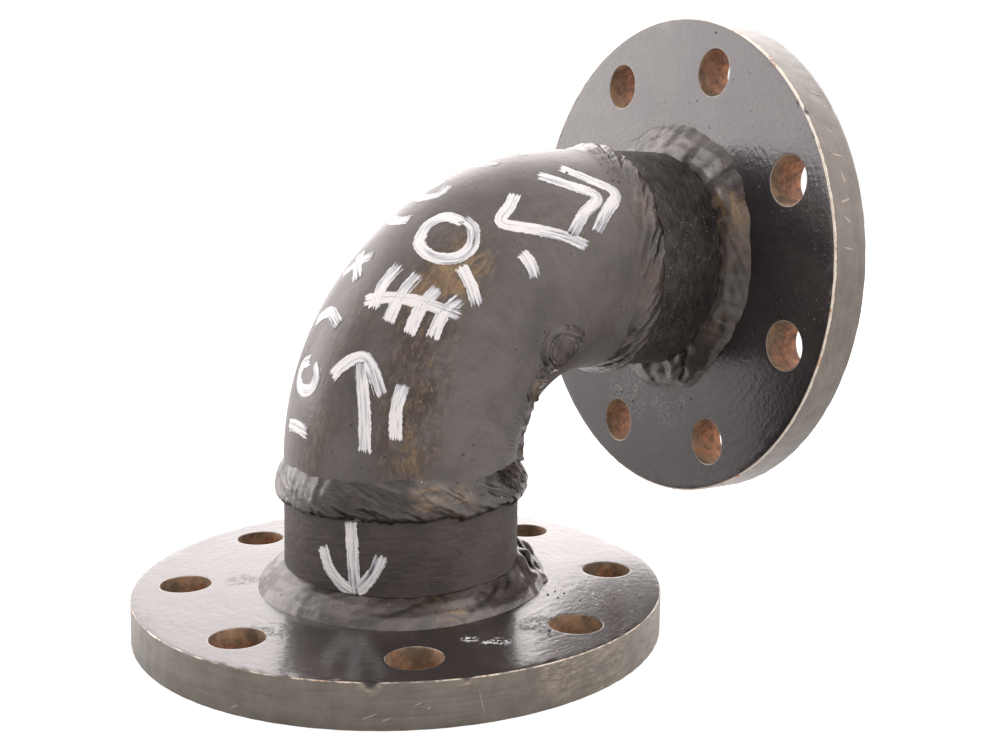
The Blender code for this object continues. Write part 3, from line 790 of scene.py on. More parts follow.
class Nodes:
    """Short calls for one tree's nodes. Colours are (red, green, blue) from 0 to 1."""

    def __init__(self, tree):
        self.tree = tree

    def node(self, kind, *values, **settings):
        """New node with its settings, and its inputs set or linked in order."""
        made = self.tree.nodes.new(kind)
        for key, value in settings.items():
            setattr(made, key, value)
        for socket, value in zip(made.inputs, values):
            self.give(socket, value)
        return made

    def give(self, socket, value):
        """Set an input to a number or colour, or link it."""
        if value is None:
            return
        if isinstance(value, bpy.types.NodeSocket):
            self.tree.links.new(value, socket)
        elif isinstance(value, tuple) and len(value) == 3 and socket.type == "RGBA":
            socket.default_value = (*value, 1)
        else:
            socket.default_value = value

    def attribute(self, name, kind="Vector"):
        return self.node("ShaderNodeAttribute", attribute_name=name).outputs[kind]

    def math(self, operation, *values, clamp=False):
        return self.node("ShaderNodeMath", *values, operation=operation, use_clamp=clamp).outputs[0]

    def total(self, *values):
        """Sum of numbers or sockets."""
        value = values[0]
        for other in values[1:]:
            value = self.math("ADD", value, other)
        return value

    def times(self, *values):
        """Product of numbers or sockets."""
        value = values[0]
        for other in values[1:]:
            value = self.math("MULTIPLY", value, other)
        return value

    def split(self, vector):
        return self.node("ShaderNodeSeparateXYZ", vector).outputs

    def vector(self, x, y, z):
        return self.node("ShaderNodeCombineXYZ", x, y, z).outputs[0]

    def stretch(self, vector, scale):
        """Vector with each part multiplied by a number."""
        return self.node("ShaderNodeVectorMath", vector, scale, operation="MULTIPLY").outputs[0]

    def noise(self, vector, scale, detail=4.0, rough=0.55, distortion=0.0):
        made = self.node("ShaderNodeTexNoise")
        self.give(made.inputs["Vector"], vector)
        self.give(made.inputs["Scale"], scale)
        self.give(made.inputs["Detail"], detail)
        self.give(made.inputs["Roughness"], rough)
        self.give(made.inputs["Distortion"], distortion)
        return made.outputs["Fac"]

    def step(self, value, low, high):
        """Smooth step from 0 at low to 1 at high; low may be the greater."""
        made = self.node("ShaderNodeMapRange", interpolation_type="SMOOTHSTEP")
        self.give(made.inputs["Value"], value)
        ends = (low, high, 0.0, 1.0) if low < high else (high, low, 1.0, 0.0)
        for title, end in zip(("From Min", "From Max", "To Min", "To Max"), ends):
            self.give(made.inputs[title], end)
        return made.outputs["Result"]

    def mix(self, factor, a, b):
        """Colour a where the factor is 0 and b where it is 1."""
        made = self.node("ShaderNodeMix", data_type="RGBA")
        self.give(made.inputs[0], factor)
        self.give(made.inputs[6], a)
        self.give(made.inputs[7], b)
        return made.outputs[2]

    def blend(self, factor, a, b):
        """Number a where the factor is 0 and b where it is 1."""
        made = self.node("ShaderNodeMix", data_type="FLOAT")
        self.give(made.inputs[0], factor)
        self.give(made.inputs[2], a)
        self.give(made.inputs[3], b)
        return made.outputs[0]


class Paint(Nodes):
    """Material whose nodes end in one shader."""

    def __init__(self, name):
        self.material = bpy.data.materials.new(name)
        self.material.use_nodes = True
        super().__init__(self.material.node_tree)
        self.shader = self.tree.nodes["Principled BSDF"]

    def spot(self, vector, centre, radius):
        """1 at a point of the place attribute, fading to 0 at the radius."""
        away = self.node("ShaderNodeVectorMath", vector, centre, operation="DISTANCE").outputs["Value"]
        return self.step(away, radius, radius * 0.25)

    def spots(self, vector, places, grain):
        """Highest of several spots, each (centre, radius, strength), broken up by a grain."""
        amount = None
        for centre, radius, strength in places:
            here = self.times(self.spot(vector, centre, radius), grain, strength)
            amount = here if amount is None else self.math("MAXIMUM", amount, here)
        return 0.0 if amount is None else amount

    def finish(
        self, color, roughness, bump=None, bump_height=0.1 * MM, metallic=None, coat=0.0, coat_roughness=0.1
    ):
        """Connect colour, roughness, metal and a height in metres to the shader."""
        self.give(self.shader.inputs["Base Color"], color)
        self.give(self.shader.inputs["Roughness"], roughness)
        self.give(self.shader.inputs["Metallic"], metallic)
        self.give(self.shader.inputs["Coat Weight"], coat)
        self.shader.inputs["Coat Roughness"].default_value = coat_roughness
        if bump is not None:
            made = self.node("ShaderNodeBump")
            made.inputs["Strength"].default_value = 1.0
            made.inputs["Distance"].default_value = bump_height
            self.give(made.inputs["Height"], bump)
            self.give(self.shader.inputs["Normal"], made.outputs["Normal"])
            self.give(self.shader.inputs["Coat Normal"], made.outputs["Normal"])
        return self.material


BLACK = (0.010, 0.009, 0.008)
SOOT = (0.040, 0.027, 0.019)
BROWN = (0.190, 0.132, 0.083)
GOLDEN = (0.270, 0.175, 0.090)
TAN = (0.560, 0.450, 0.340)
RUST_DARK = (0.110, 0.060, 0.037)
RUST_LIGHT = (0.500, 0.230, 0.110)
HOLE_PAINT = ((0.150, 0.108, 0.068), (0.370, 0.235, 0.140))
WHITE_PAINT = (0.840, 0.830, 0.825)
THIN_WHITE = (0.440, 0.455, 0.490)


def weathered_paint(paint, place, tones, brown_amount, brown_spots, golden_spots, ripple, dust):
    """Old brush paint: two tones in soft clouds, sooty stains with golden grain, dust, pores and strokes.

    Ripple is the strokes' share of the tones and how often they come along x, y and z, per metre. Dust
    is how strong its pale specks are and how much of the paint has them, less for more.
    Returns the sockets of its colour and height.
    """
    streaked, stretching = ripple
    strokes = paint.noise(paint.stretch(place, stretching), 1.0, 5.0, 0.65, 0.6)
    clouds = paint.blend(streaked, paint.noise(place, 30.0, 6.0, 0.65, 0.7), strokes)
    color = paint.mix(paint.step(clouds, 0.36, 0.64), *tones)
    stains = paint.step(paint.noise(place, 44.0, 6.0, 0.72, 1.2), 0.50, 0.72)
    amount = paint.times(stains, brown_amount)
    torn = paint.step(paint.noise(place, 75.0, 6.0, 0.75, 0.6), 0.33, 0.56)
    if brown_spots:
        amount = paint.math("MAXIMUM", amount, paint.spots(place, brown_spots, torn))
    grain = paint.step(paint.noise(paint.stretch(place, (480.0, 480.0, 260.0)), 1.0, 5.0, 0.8, 0.2), 0.45, 0.70)
    color = paint.mix(amount, color, paint.mix(grain, SOOT, BROWN))
    if golden_spots:
        torn_grain = paint.step(paint.total(grain, torn), 0.5, 1.4)
        color = paint.mix(paint.spots(place, golden_spots, torn_grain), color, GOLDEN)
    patches = paint.step(paint.noise(place, 36.0, 3.0, 0.5), dust[1], dust[1] + 0.12)
    specks = paint.times(paint.step(paint.noise(place, 1050.0, 3.0, 0.65), 0.63, 0.70), patches)
    color = paint.mix(paint.times(specks, dust[0]), color, TAN)
    pores = paint.step(paint.noise(place, 470.0, 2.0, 0.5), 0.28, 0.22)
    color = paint.mix(pores, color, BLACK)
    fine = paint.noise(place, 380.0, 4.0, 0.65)
    height = paint.total(fine, strokes, paint.times(pores, -0.6), paint.times(specks, 0.5))
    return color, height


def brushed_white(paint, place, color, rough, height):
    """White brush paint over a paint: streaks along each stroke, ragged ends and thin grey-blue edges.

    The stroke attribute is the distance along the stroke, the distance across it and its length.
    """
    along, across, length = paint.split(paint.attribute("stroke"))
    bristle = paint.vector(paint.times(along, 75.0), paint.times(across, 1000.0), paint.times(length, 900.0))
    streak = paint.noise(bristle, 1.0, 4.0, 0.65)
    ragged = paint.times(paint.total(streak, -0.5), 7 * MM)
    fuzz = paint.times(paint.total(paint.noise(place, 900.0, 3.0, 0.6), -0.5), 1.6 * MM)
    edge = paint.step(paint.total(paint.math("ABSOLUTE", across), fuzz), 2.55 * MM, 2.15 * MM)
    start = paint.step(paint.total(along, ragged), 0.4 * MM, 1.4 * MM)
    left = paint.total(paint.math("SUBTRACT", length, along), ragged)
    end = paint.step(left, 0.2 * MM, 2.6 * MM)
    share = paint.math("DIVIDE", along, length)
    drying = paint.times(share, share, share, 0.16)
    load = paint.math("SUBTRACT", streak, paint.total(drying, 0.27))
    gaps = paint.step(load, 0.0, 0.06)
    cover = paint.times(edge, start, end, gaps)
    thick = paint.step(load, 0.05, 0.24)
    tone = paint.mix(paint.times(thick, paint.step(cover, 0.3, 0.9)), THIN_WHITE, WHITE_PAINT)
    color = paint.mix(paint.step(cover, 0.12, 0.55), color, tone)
    height = paint.total(height, paint.times(streak, 1.2), paint.times(cover, 0.8))
    return color, paint.blend(cover, rough, 0.55), height


def bore_rust(paint, place, color, rough, outer_radius):
    """Brown scale on everything nearer to the axis than the outer radius."""
    x, y, _ = paint.split(place)
    radius = paint.math("SQRT", paint.total(paint.times(x, x), paint.times(y, y)))
    inside = paint.step(radius, outer_radius, outer_radius - 1.0 * MM)
    scale = paint.mix(paint.noise(place, 90.0, 6.0, 0.7, 0.8), (0.060, 0.032, 0.020), (0.240, 0.115, 0.058))
    return paint.mix(inside, color, scale), paint.blend(inside, rough, 0.85)


def pipe_paint(name, tones, brown_amount, brown_spots, golden_spots, ripple, dust, gloss, marked=False):
    """Paint of a pipe or of the bend, with rust in its bore and brushed white on the pieces for marks.

    Gloss is the least and the greatest roughness, the strength of the clear coat and the bump's height.
    """
    paint = Paint(name)
    place = paint.attribute("place")
    color, height = weathered_paint(paint, place, tones, brown_amount, brown_spots, golden_spots, ripple, dust)
    rough = paint.blend(paint.noise(place, 70.0, 4.0, 0.6), *gloss[:2])
    if marked:
        color, rough, height = brushed_white(paint, place, color, rough, height)
    else:
        color, rough = bore_rust(paint, place, color, rough, PIPE_RADIUS - 2.2 * MM)
    return paint.finish(color, rough, height, gloss[3], coat=gloss[2], coat_roughness=0.25)


def weld_paint(name, strength, golden_spots):
    """Glossy paint on the weld metal, golden in places, with painted highlight on its crests and painted shade in its
    grooves.

    Strength multiplies the paint's tones.
    """
    paint = Paint(name)
    place = paint.attribute("place")
    relief = paint.attribute("relief", "Fac")
    tone = paint.step(paint.noise(place, 55.0, 6.0, 0.65, 1.5), 0.36, 0.66)
    shades = ((0.042, 0.035, 0.032), (0.098, 0.083, 0.077))
    tones = (tuple(strength * value for value in shade) for shade in shades)
    color = paint.mix(tone, *tones)
    # Painted shade in the grooves and painted highlight on the crests, read from the relief attribute.
    color = paint.mix(paint.step(relief, -0.05, -0.75), color, (0.010, 0.008, 0.006))
    color = paint.mix(paint.times(paint.step(relief, 0.15, 0.95), 0.5), color, (0.155, 0.132, 0.112))
    grain = paint.step(paint.noise(paint.stretch(place, (90.0, 90.0, 230.0)), 1.0, 5.0, 0.7, 0.8), 0.40, 0.62)
    amount = paint.times(paint.step(paint.noise(place, 70.0, 5.0, 0.7, 1.0), 0.54, 0.74), grain, 0.35)
    if golden_spots:
        amount = paint.math("MAXIMUM", amount, paint.spots(place, golden_spots, grain))
    color = paint.mix(amount, color, GOLDEN)
    specks = paint.step(paint.noise(place, 700.0, 2.0, 0.5), 0.72, 0.77)
    color = paint.mix(paint.times(specks, 0.6), color, TAN)
    pits = paint.step(paint.noise(place, 420.0, 2.0, 0.6), 0.31, 0.25)
    color = paint.mix(pits, color, BLACK)
    strands = paint.noise(paint.stretch(place, (120.0, 120.0, 420.0)), 1.0, 4.0, 0.6, 1.2)
    height = paint.total(paint.times(paint.noise(place, 300.0, 4.0, 0.6, 0.6), 0.5), strands, paint.times(pits, -0.8))
    rough = paint.blend(paint.noise(place, 110.0, 4.0, 0.6), 0.16, 0.38)
    return paint.finish(color, rough, height, 0.14 * MM, coat=0.4, coat_roughness=0.18)


def hole_distance(paint, x, y, turn):
    """Distance of a place from the axis of the nearest bolt hole: the plate is folded into one sector."""
    radius = paint.math("SQRT", paint.total(paint.times(x, x), paint.times(y, y)))
    angle = paint.math("SUBTRACT", paint.math("ARCTAN2", y, x), turn)
    folded = paint.math("SUBTRACT", paint.math("MODULO", paint.math("ADD", angle, tau), SECTOR), SECTOR / 2)
    away_x = paint.math("SUBTRACT", paint.times(radius, paint.math("COSINE", folded)), BOLT_CIRCLE_RADIUS)
    away_y = paint.times(radius, paint.math("SINE", folded))
    return paint.math("SQRT", paint.total(paint.times(away_x, away_x), paint.times(away_y, away_y))), radius


def plate_paint(name, turn, tones, peel_size, edge_wear_and_highlight, worn_spots, pit_spots, glint_spots):
    """Gloss paint on a plate: rusty holes with bright lips, a machined rim worn to olive grey, bare edges.

    Peel size is how often the paint's peel comes, per metre, and its height. Edge wear is the width of
    the bare line in metres, how much of it is broken away and its colour. The lips and edges are
    lightened further as painted highlight, and the glints are painted reflections.
    """
    paint = Paint(name)
    place = paint.attribute("place")
    x, y, z = paint.split(place)
    away, radius = hole_distance(paint, x, y, turn)
    tone = paint.step(paint.noise(place, 24.0, 6.0, 0.65, 0.6), 0.36, 0.70)
    color = paint.mix(tone, *tones)
    patches = paint.step(paint.noise(place, 26.0, 4.0, 0.6), 0.48, 0.66)
    dust = paint.times(paint.step(paint.noise(place, 700.0, 3.0, 0.6), 0.62, 0.72), patches)
    color = paint.mix(paint.times(dust, 0.35), color, (0.330, 0.290, 0.260))
    pits = paint.step(paint.noise(place, 400.0, 3.0, 0.55), 0.30, 0.25)
    sores = paint.noise(place, 330.0, 3.0, 0.6, 1.2)
    near_pits = paint.spots(place, pit_spots, paint.step(sores, 0.42, 0.37))
    swollen = paint.times(paint.step(sores, 0.40, 0.44), paint.step(sores, 0.50, 0.45))
    blisters = paint.spots(place, pit_spots, swollen)
    pits = paint.math("MAXIMUM", pits, near_pits)
    color = paint.mix(pits, color, BLACK)
    color = paint.mix(paint.times(blisters, 0.6), color, (0.210, 0.185, 0.178))
    # Painted glints: small white-blue reflections of dents, painted as colour.
    painted_glints = paint.spots(place, glint_spots, paint.step(paint.noise(place, 300.0, 4.0, 0.6, 1.5), 0.49, 0.53))
    color = paint.mix(painted_glints, color, (0.800, 0.820, 0.860))
    around_hole = paint.vector(paint.times(away, 900.0), paint.times(x, 90.0), paint.times(y, 90.0))
    flecks = paint.step(paint.noise(around_hole, 1.0, 4.0, 0.65, 0.4), 0.345, 0.305)
    near_hole = paint.step(away, BOLT_HOLE_RADIUS + 7 * MM, BOLT_HOLE_RADIUS + 1 * MM)
    flecks = paint.times(flecks, near_hole, paint.step(paint.noise(place, 38.0, 3.0, 0.5), 0.50, 0.56))
    color = paint.mix(flecks, color, BLACK)
    pits = paint.math("MAXIMUM", pits, paint.times(flecks, 0.6))
    ringed = paint.vector(paint.times(radius, 380.0), paint.times(x, 70.0), paint.times(y, 70.0))
    rings = paint.noise(ringed, 1.0, 2.5, 0.5, 0.5)
    peel = paint.times(paint.noise(place, peel_size[0], 3.0, 0.5), peel_size[1])
    height = paint.total(rings, peel, paint.times(dust, 0.6), paint.times(pits, -1.2), paint.times(blisters, 1.8))
    rough = paint.blend(paint.noise(place, 55.0, 5.0, 0.6), 0.17, 0.34)

    # Rim: fine turning marks under thin paint
    rim = paint.step(radius, PLATE_RADIUS - 0.55 * MM, PLATE_RADIUS - 0.25 * MM)
    lines = paint.noise(paint.stretch(place, (14.0, 14.0, 2400.0)), 1.0, 3.0, 0.65)
    bands = paint.noise(paint.stretch(place, (45.0, 45.0, 260.0)), 1.0, 5.0, 0.65)
    mottle = paint.noise(place, 120.0, 5.0, 0.7)
    rim_tone = paint.total(paint.times(lines, 0.25), paint.times(bands, 0.35), paint.times(mottle, 0.4))
    rim_color = paint.mix(paint.step(rim_tone, 0.36, 0.64), (0.100, 0.088, 0.068), (0.176, 0.157, 0.127))
    color = paint.mix(rim, color, rim_color)
    rough = paint.blend(rim, rough, 0.36)
    height = paint.blend(rim, height, paint.total(paint.times(lines, 0.7), paint.times(mottle, 0.4)))

    # Edges rubbed bare in broken lines and lightened further as a painted highlight, and worn patches
    width, loss, edge_color = edge_wear_and_highlight
    from_back = paint.math("ABSOLUTE", paint.math("SUBTRACT", z, PLATE_THICKNESS))
    outer = paint.step(radius, PLATE_RADIUS - 1.2 * width, PLATE_RADIUS - 0.8 * width)
    fray = paint.times(paint.total(paint.noise(place, 420.0, 3.0, 0.6), -0.5), 1.5 * width)
    back_edge = paint.step(paint.total(from_back, fray), 1.1 * width, 0.6 * width)
    face_edge = paint.times(paint.step(paint.total(z, fray), 0.7 * width, 0.2 * width), 0.35)
    broken = paint.step(paint.noise(place, 90.0, 5.0, 0.75), loss, loss + 0.10)
    edge = paint.times(paint.math("MAXIMUM", back_edge, face_edge), outer, broken)
    scratches = paint.noise(paint.stretch(place, (190.0, 190.0, 700.0)), 1.0, 5.0, 0.75, 0.3)
    scuffs = paint.times(paint.step(scratches, 0.42, 0.66), rim)
    worn = paint.spots(place, worn_spots, scuffs)
    color = paint.mix(worn, color, (0.360, 0.300, 0.225))
    color = paint.mix(edge, color, paint.mix(paint.step(mottle, 0.32, 0.50), RUST_LIGHT, edge_color))
    bare = paint.math("MAXIMUM", edge, paint.times(worn, 0.5))

    # Bolt holes: thin bright lip, worn metal lightened further as a painted highlight, dull paint near the back and
    # rust further in
    lip_wear_and_highlight = paint.times(paint.step(away, BOLT_HOLE_RADIUS + 0.62 * MM, BOLT_HOLE_RADIUS + 0.35 * MM), 0.55)
    color = paint.mix(paint.times(lip_wear_and_highlight, broken), color, (0.470, 0.410, 0.350))
    wall = paint.step(away, BOLT_HOLE_RADIUS + 0.22 * MM, BOLT_HOLE_RADIUS + 0.05 * MM)
    rust = paint.mix(paint.step(paint.noise(place, 300.0, 6.0, 0.75), 0.32, 0.70), RUST_DARK, RUST_LIGHT)
    reach = paint.total(z, paint.times(paint.total(paint.noise(place, 90.0, 5.0, 0.75), -0.5), 34 * MM))
    old_paint = paint.mix(paint.step(mottle, 0.40, 0.62), *HOLE_PAINT)
    color = paint.mix(wall, color, paint.mix(paint.step(reach, 7 * MM, 14 * MM), rust, old_paint))
    rough = paint.blend(wall, rough, 0.75)
    gloss = paint.blend(wall, 0.5, 0.05)

    # Gasket face: concentric turning marks in bare, oiled steel
    face = paint.step(z, 0.06 * MM, 0.0)
    grooves = paint.math("SINE", paint.times(radius, tau / (0.8 * MM)))
    face_tone = paint.step(paint.noise(place, 40.0, 5.0, 0.65, 0.8), 0.35, 0.70)
    color = paint.mix(face, color, paint.mix(face_tone, (0.120, 0.090, 0.070), (0.260, 0.235, 0.210)))
    rough = paint.blend(face, rough, 0.46)
    height = paint.blend(face, height, paint.times(grooves, 0.25))
    metal = paint.math("MAXIMUM", paint.times(bare, 0.3), paint.times(face, 0.6))
    return paint.finish(color, rough, height, 0.09 * MM, metallic=metal, coat=gloss, coat_roughness=0.14)


def bare_metal(name, dark, light, roughness):
    """Dull grey-brown metal of the inner welds and of the punch ticks."""
    paint = Paint(name)
    place = paint.attribute("place")
    color = paint.mix(paint.noise(place, 120.0, 5.0, 0.6), dark, light)
    return paint.finish(color, roughness, paint.noise(place, 400.0, 4.0, 0.6), 0.1 * MM, metallic=0.3)


# Scene around the fitting


def set_camera():
    """Camera of the photograph: its place, bearing, height of view, roll and centre."""
    back = Vector(
        (
            sin(CAMERA_AZIMUTH) * cos(CAMERA_ELEVATION),
            -cos(CAMERA_AZIMUTH) * cos(CAMERA_ELEVATION),
            sin(CAMERA_ELEVATION),
        )
    )
    level_right = Vector((cos(CAMERA_AZIMUTH), sin(CAMERA_AZIMUTH), 0))
    level_up = back.cross(level_right)
    right = level_right * cos(CAMERA_ROLL) - level_up * sin(CAMERA_ROLL)
    up = level_right * sin(CAMERA_ROLL) + level_up * cos(CAMERA_ROLL)
    data = bpy.data.cameras.new("photo_camera")
    data.sensor_width = 36
    data.lens = FOCAL_PIXELS / IMAGE_WIDTH * data.sensor_width
    data.shift_x = (IMAGE_WIDTH / 2 - CENTRE_PIXEL[0]) / IMAGE_WIDTH
    data.shift_y = (CENTRE_PIXEL[1] - IMAGE_HEIGHT / 2) / IMAGE_WIDTH
    camera = bpy.data.objects.new("photo_camera", data)
    turn = Matrix((right, up, back)).transposed()
    camera.matrix_world = Matrix.Translation(CAMERA_PLACE) @ turn.to_4x4()
    bpy.context.scene.collection.objects.link(camera)
    bpy.context.scene.camera = camera


def set_light():
    """White studio, brightest behind the fitting and to its right, as its gloss shows.

    The camera sees plain white. Every other ray sees a level that grows towards each bright side.
    """
    world = bpy.data.worlds.new("white_studio")
    bpy.context.scene.world = world
    world.use_nodes = True
    studio = Nodes(world.node_tree)
    direction = studio.node("ShaderNodeTexCoord").outputs["Generated"]
    level = FRONT_LEVEL
    for side, low, high, strength in BRIGHT_SIDES:
        facing = studio.node("ShaderNodeVectorMath", direction, side, operation="DOT_PRODUCT").outputs["Value"]
        level = studio.total(level, studio.times(studio.step(facing, low, high), strength))
    rays = studio.node("ShaderNodeLightPath")
    seen = studio.node("ShaderNodeBackground", (1.0, 1.0, 1.0), 1.0)
    lit = studio.node("ShaderNodeBackground", LIGHT_COLOR, level)
    choose = studio.node("ShaderNodeMixShader", rays.outputs["Is Camera Ray"], lit.outputs[0], seen.outputs[0])
    studio.give(studio.tree.nodes["World Output"].inputs[0], choose.outputs[0])
    for name, place, target, size, watts in PANELS:
        add_lamp(name, place, target, size, watts)


def add_lamp(name, place, target, size, watts):
    """Soft rectangular lamp that faces the target."""
    data = bpy.data.lights.new(name, "AREA")
    data.shape = "RECTANGLE"
    data.size = size[0]
    data.size_y = size[1]
    data.energy = watts
    data.color = LIGHT_COLOR
    lamp = bpy.data.objects.new(name, data)
    lamp.location = place
    lamp.rotation_euler = (Vector(target) - Vector(place)).to_track_quat("-Z", "Y").to_euler()
    lamp.visible_camera = False
    bpy.context.scene.collection.objects.link(lamp)


def set_floor():
    """Large white floor that keeps the fitting's soft shadow. The camera and gloss see it lighter."""
    size = 6.0
    mesh = bpy.data.meshes.new("floor")
    corners = ((-size, -size), (size, -size), (size, size), (-size, size))
    mesh.from_pydata([(x, y, -0.05 * MM) for x, y in corners], [], [(0, 1, 2, 3)])
    floor = bpy.data.objects.new("floor", mesh)
    bpy.context.scene.collection.objects.link(floor)
    paint = Paint("white_floor")
    paint.finish((0.52, 0.52, 0.52), 0.9)
    rays = paint.node("ShaderNodeLightPath")
    camera_glow = paint.times(rays.outputs["Is Camera Ray"], 0.72)
    gloss_glow = paint.times(rays.outputs["Is Glossy Ray"], 0.10)
    glow = paint.node("ShaderNodeEmission", (1.0, 1.0, 1.0), paint.total(camera_glow, gloss_glow))
    both = paint.node("ShaderNodeAddShader", glow.outputs[0], paint.shader.outputs[0])
    paint.give(paint.tree.nodes["Material Output"].inputs["Surface"], both.outputs[0])
    mesh.materials.append(paint.material)


LIGHT_COLOR = (1.0, 0.940, 0.932)
FRONT_LEVEL = 0.53
# Each bright side: its direction, where it starts and where it is full, as cosines, and what it adds
BRIGHT_SIDES = (
    ((0.0, 1.0, 0.0), -0.2, 0.9, 0.50),
    ((0.72, -0.65, 0.25), 0.25, 0.95, 1.15),
    ((0.75, 0.60, 0.28), 0.45, 1.0, 0.9),
    ((0.66, 0.50, 0.56), 0.75, 1.0, 0.5),
    ((0.0, 0.0, 1.0), 0.3, 1.0, 0.75),
)
PANELS = (
    ("back_panel", (0.40, 1.3, 0.75), (0.0, 0.0, 0.12), (1.5, 1.3), 6),
    ("back_left_panel", (-1.05, 1.25, 0.72), (0.0, 0.0, 0.15), (1.3, 1.35), 16),
)

BASE_LUMPS = (
    (radians(-8), radians(13), 4.5 * MM, 3.0 * MM),
    (radians(-30), radians(9), 2.6 * MM, 0.8 * MM),
    (radians(-113), radians(24), -1.2 * MM, 2.6 * MM),
    (radians(158), radians(20), 1.4 * MM, -0.6 * MM),
    (radians(70), radians(25), 1.0 * MM, 1.6 * MM),
)
SIDE_LUMPS = (
    (radians(-97), radians(20), 1.5 * MM, 0.8 * MM),
    (radians(-137), radians(22), -0.8 * MM, 3.6 * MM),
    (radians(140), radians(14), 2.4 * MM, -2.0 * MM),
    (radians(113), radians(8), 1.2 * MM, 1.6 * MM),
    (radians(84), radians(7), 1.6 * MM, 1.4 * MM),
    (radians(20), radians(26), 1.2 * MM, 1.0 * MM),
)

BASE_CRAGS = ((radians(-27), radians(17), 1.0), (radians(0), radians(14), 0.5))
SIDE_CRAGS = (
    (radians(108), radians(12), 0.55),
    (radians(-152), radians(10), 0.25),
    (radians(-95), radians(14), 0.4),
)


def rim_place(degrees_round, height):
    """Point of a plate's rim in the run's own frame."""
    turn = radians(degrees_round)
    return (PLATE_RADIUS * cos(turn), PLATE_RADIUS * sin(turn), height)


def plate_spot(radius, degrees_round, reach):
    """Spot on a plate's back in the run's own frame, for pits and painted glints."""
    turn = radians(degrees_round)
    return ((radius * MM * cos(turn), radius * MM * sin(turn), PLATE_THICKNESS), reach * MM, 1.0)


def build_flanges():
    """Both plates, each with its own nicks, worn patches and pits."""
    base_nicks = ((radians(-121), 2.6 * MM, 0.7 * MM), (radians(-104), 2.4 * MM, 0.4 * MM))
    side_nicks = ((radians(-144.5), 1.8 * MM, 1.0 * MM),)
    base_worn = (
        (rim_place(-84, 12 * MM), 14 * MM, 0.9),
        (rim_place(-72, 9 * MM), 18 * MM, 0.7),
        (rim_place(-52, 8 * MM), 24 * MM, 0.6),
        (rim_place(-33, 8 * MM), 24 * MM, 0.8),
        (rim_place(-104, 15 * MM), 5 * MM, 1.0),
        (rim_place(-121, 15 * MM), 5 * MM, 0.8),
    )
    side_worn = ((rim_place(-144.5, 15 * MM), 4 * MM, 1.0), (rim_place(160, 8 * MM), 20 * MM, 0.2))
    pits = (plate_spot(62, 155, 9), plate_spot(73, -155, 11), plate_spot(76, -73, 12))
    painted_glints = (plate_spot(71, -96.5, 4), plate_spot(77.5, -90, 5), plate_spot(76, -93, 3))
    side_pits = (plate_spot(68, 70, 17), plate_spot(62, 96, 14))
    # Edge lines: bare metal lightened as a painted highlight, whitest and widest on the side plate.
    base_edge = (0.40 * MM, 0.44, (0.620, 0.540, 0.430))
    side_edge = (0.75 * MM, 0.30, (0.820, 0.750, 0.640))
    base_tones = ((0.026, 0.021, 0.020), (0.052, 0.044, 0.041))
    side_tones = ((0.021, 0.017, 0.018), (0.046, 0.038, 0.038))
    base_looks = (base_tones, (300.0, 0.9), base_edge, base_worn, pits, painted_glints)
    side_looks = (side_tones, (500.0, 1.2), side_edge, side_worn, side_pits, ())
    base_paint = plate_paint("base_plate_paint", 0.0, *base_looks)
    side_paint = plate_paint("side_plate_paint", SIDE_TURN, *side_looks)
    plates = (("base", 0.0, base_nicks, base_paint, 11), ("side", SIDE_TURN, side_nicks, side_paint, 12))
    for run, turn, nicks, paint, seed in plates:
        points, faces = drilled_plate(nicks, turn, seed)
        world = run_to_world(points, run)
        add_piece(run + "_plate", world, faces, points, paint, node=run + "_flange", slot="plate_paint")


def bend_spot(along, degrees_round, radius, strength):
    """Spot of the bend's straightened place, for stains."""
    turn = radians(degrees_round)
    return ((PIPE_RADIUS * cos(turn), PIPE_RADIUS * sin(turn), along * MM), radius * MM, strength)


def weld_spot(radius, degrees_round, height, reach, strength):
    """Spot on a weld in its run's own frame, for stains."""
    turn = radians(degrees_round)
    return ((radius * MM * cos(turn), radius * MM * sin(turn), height), reach * MM, strength)


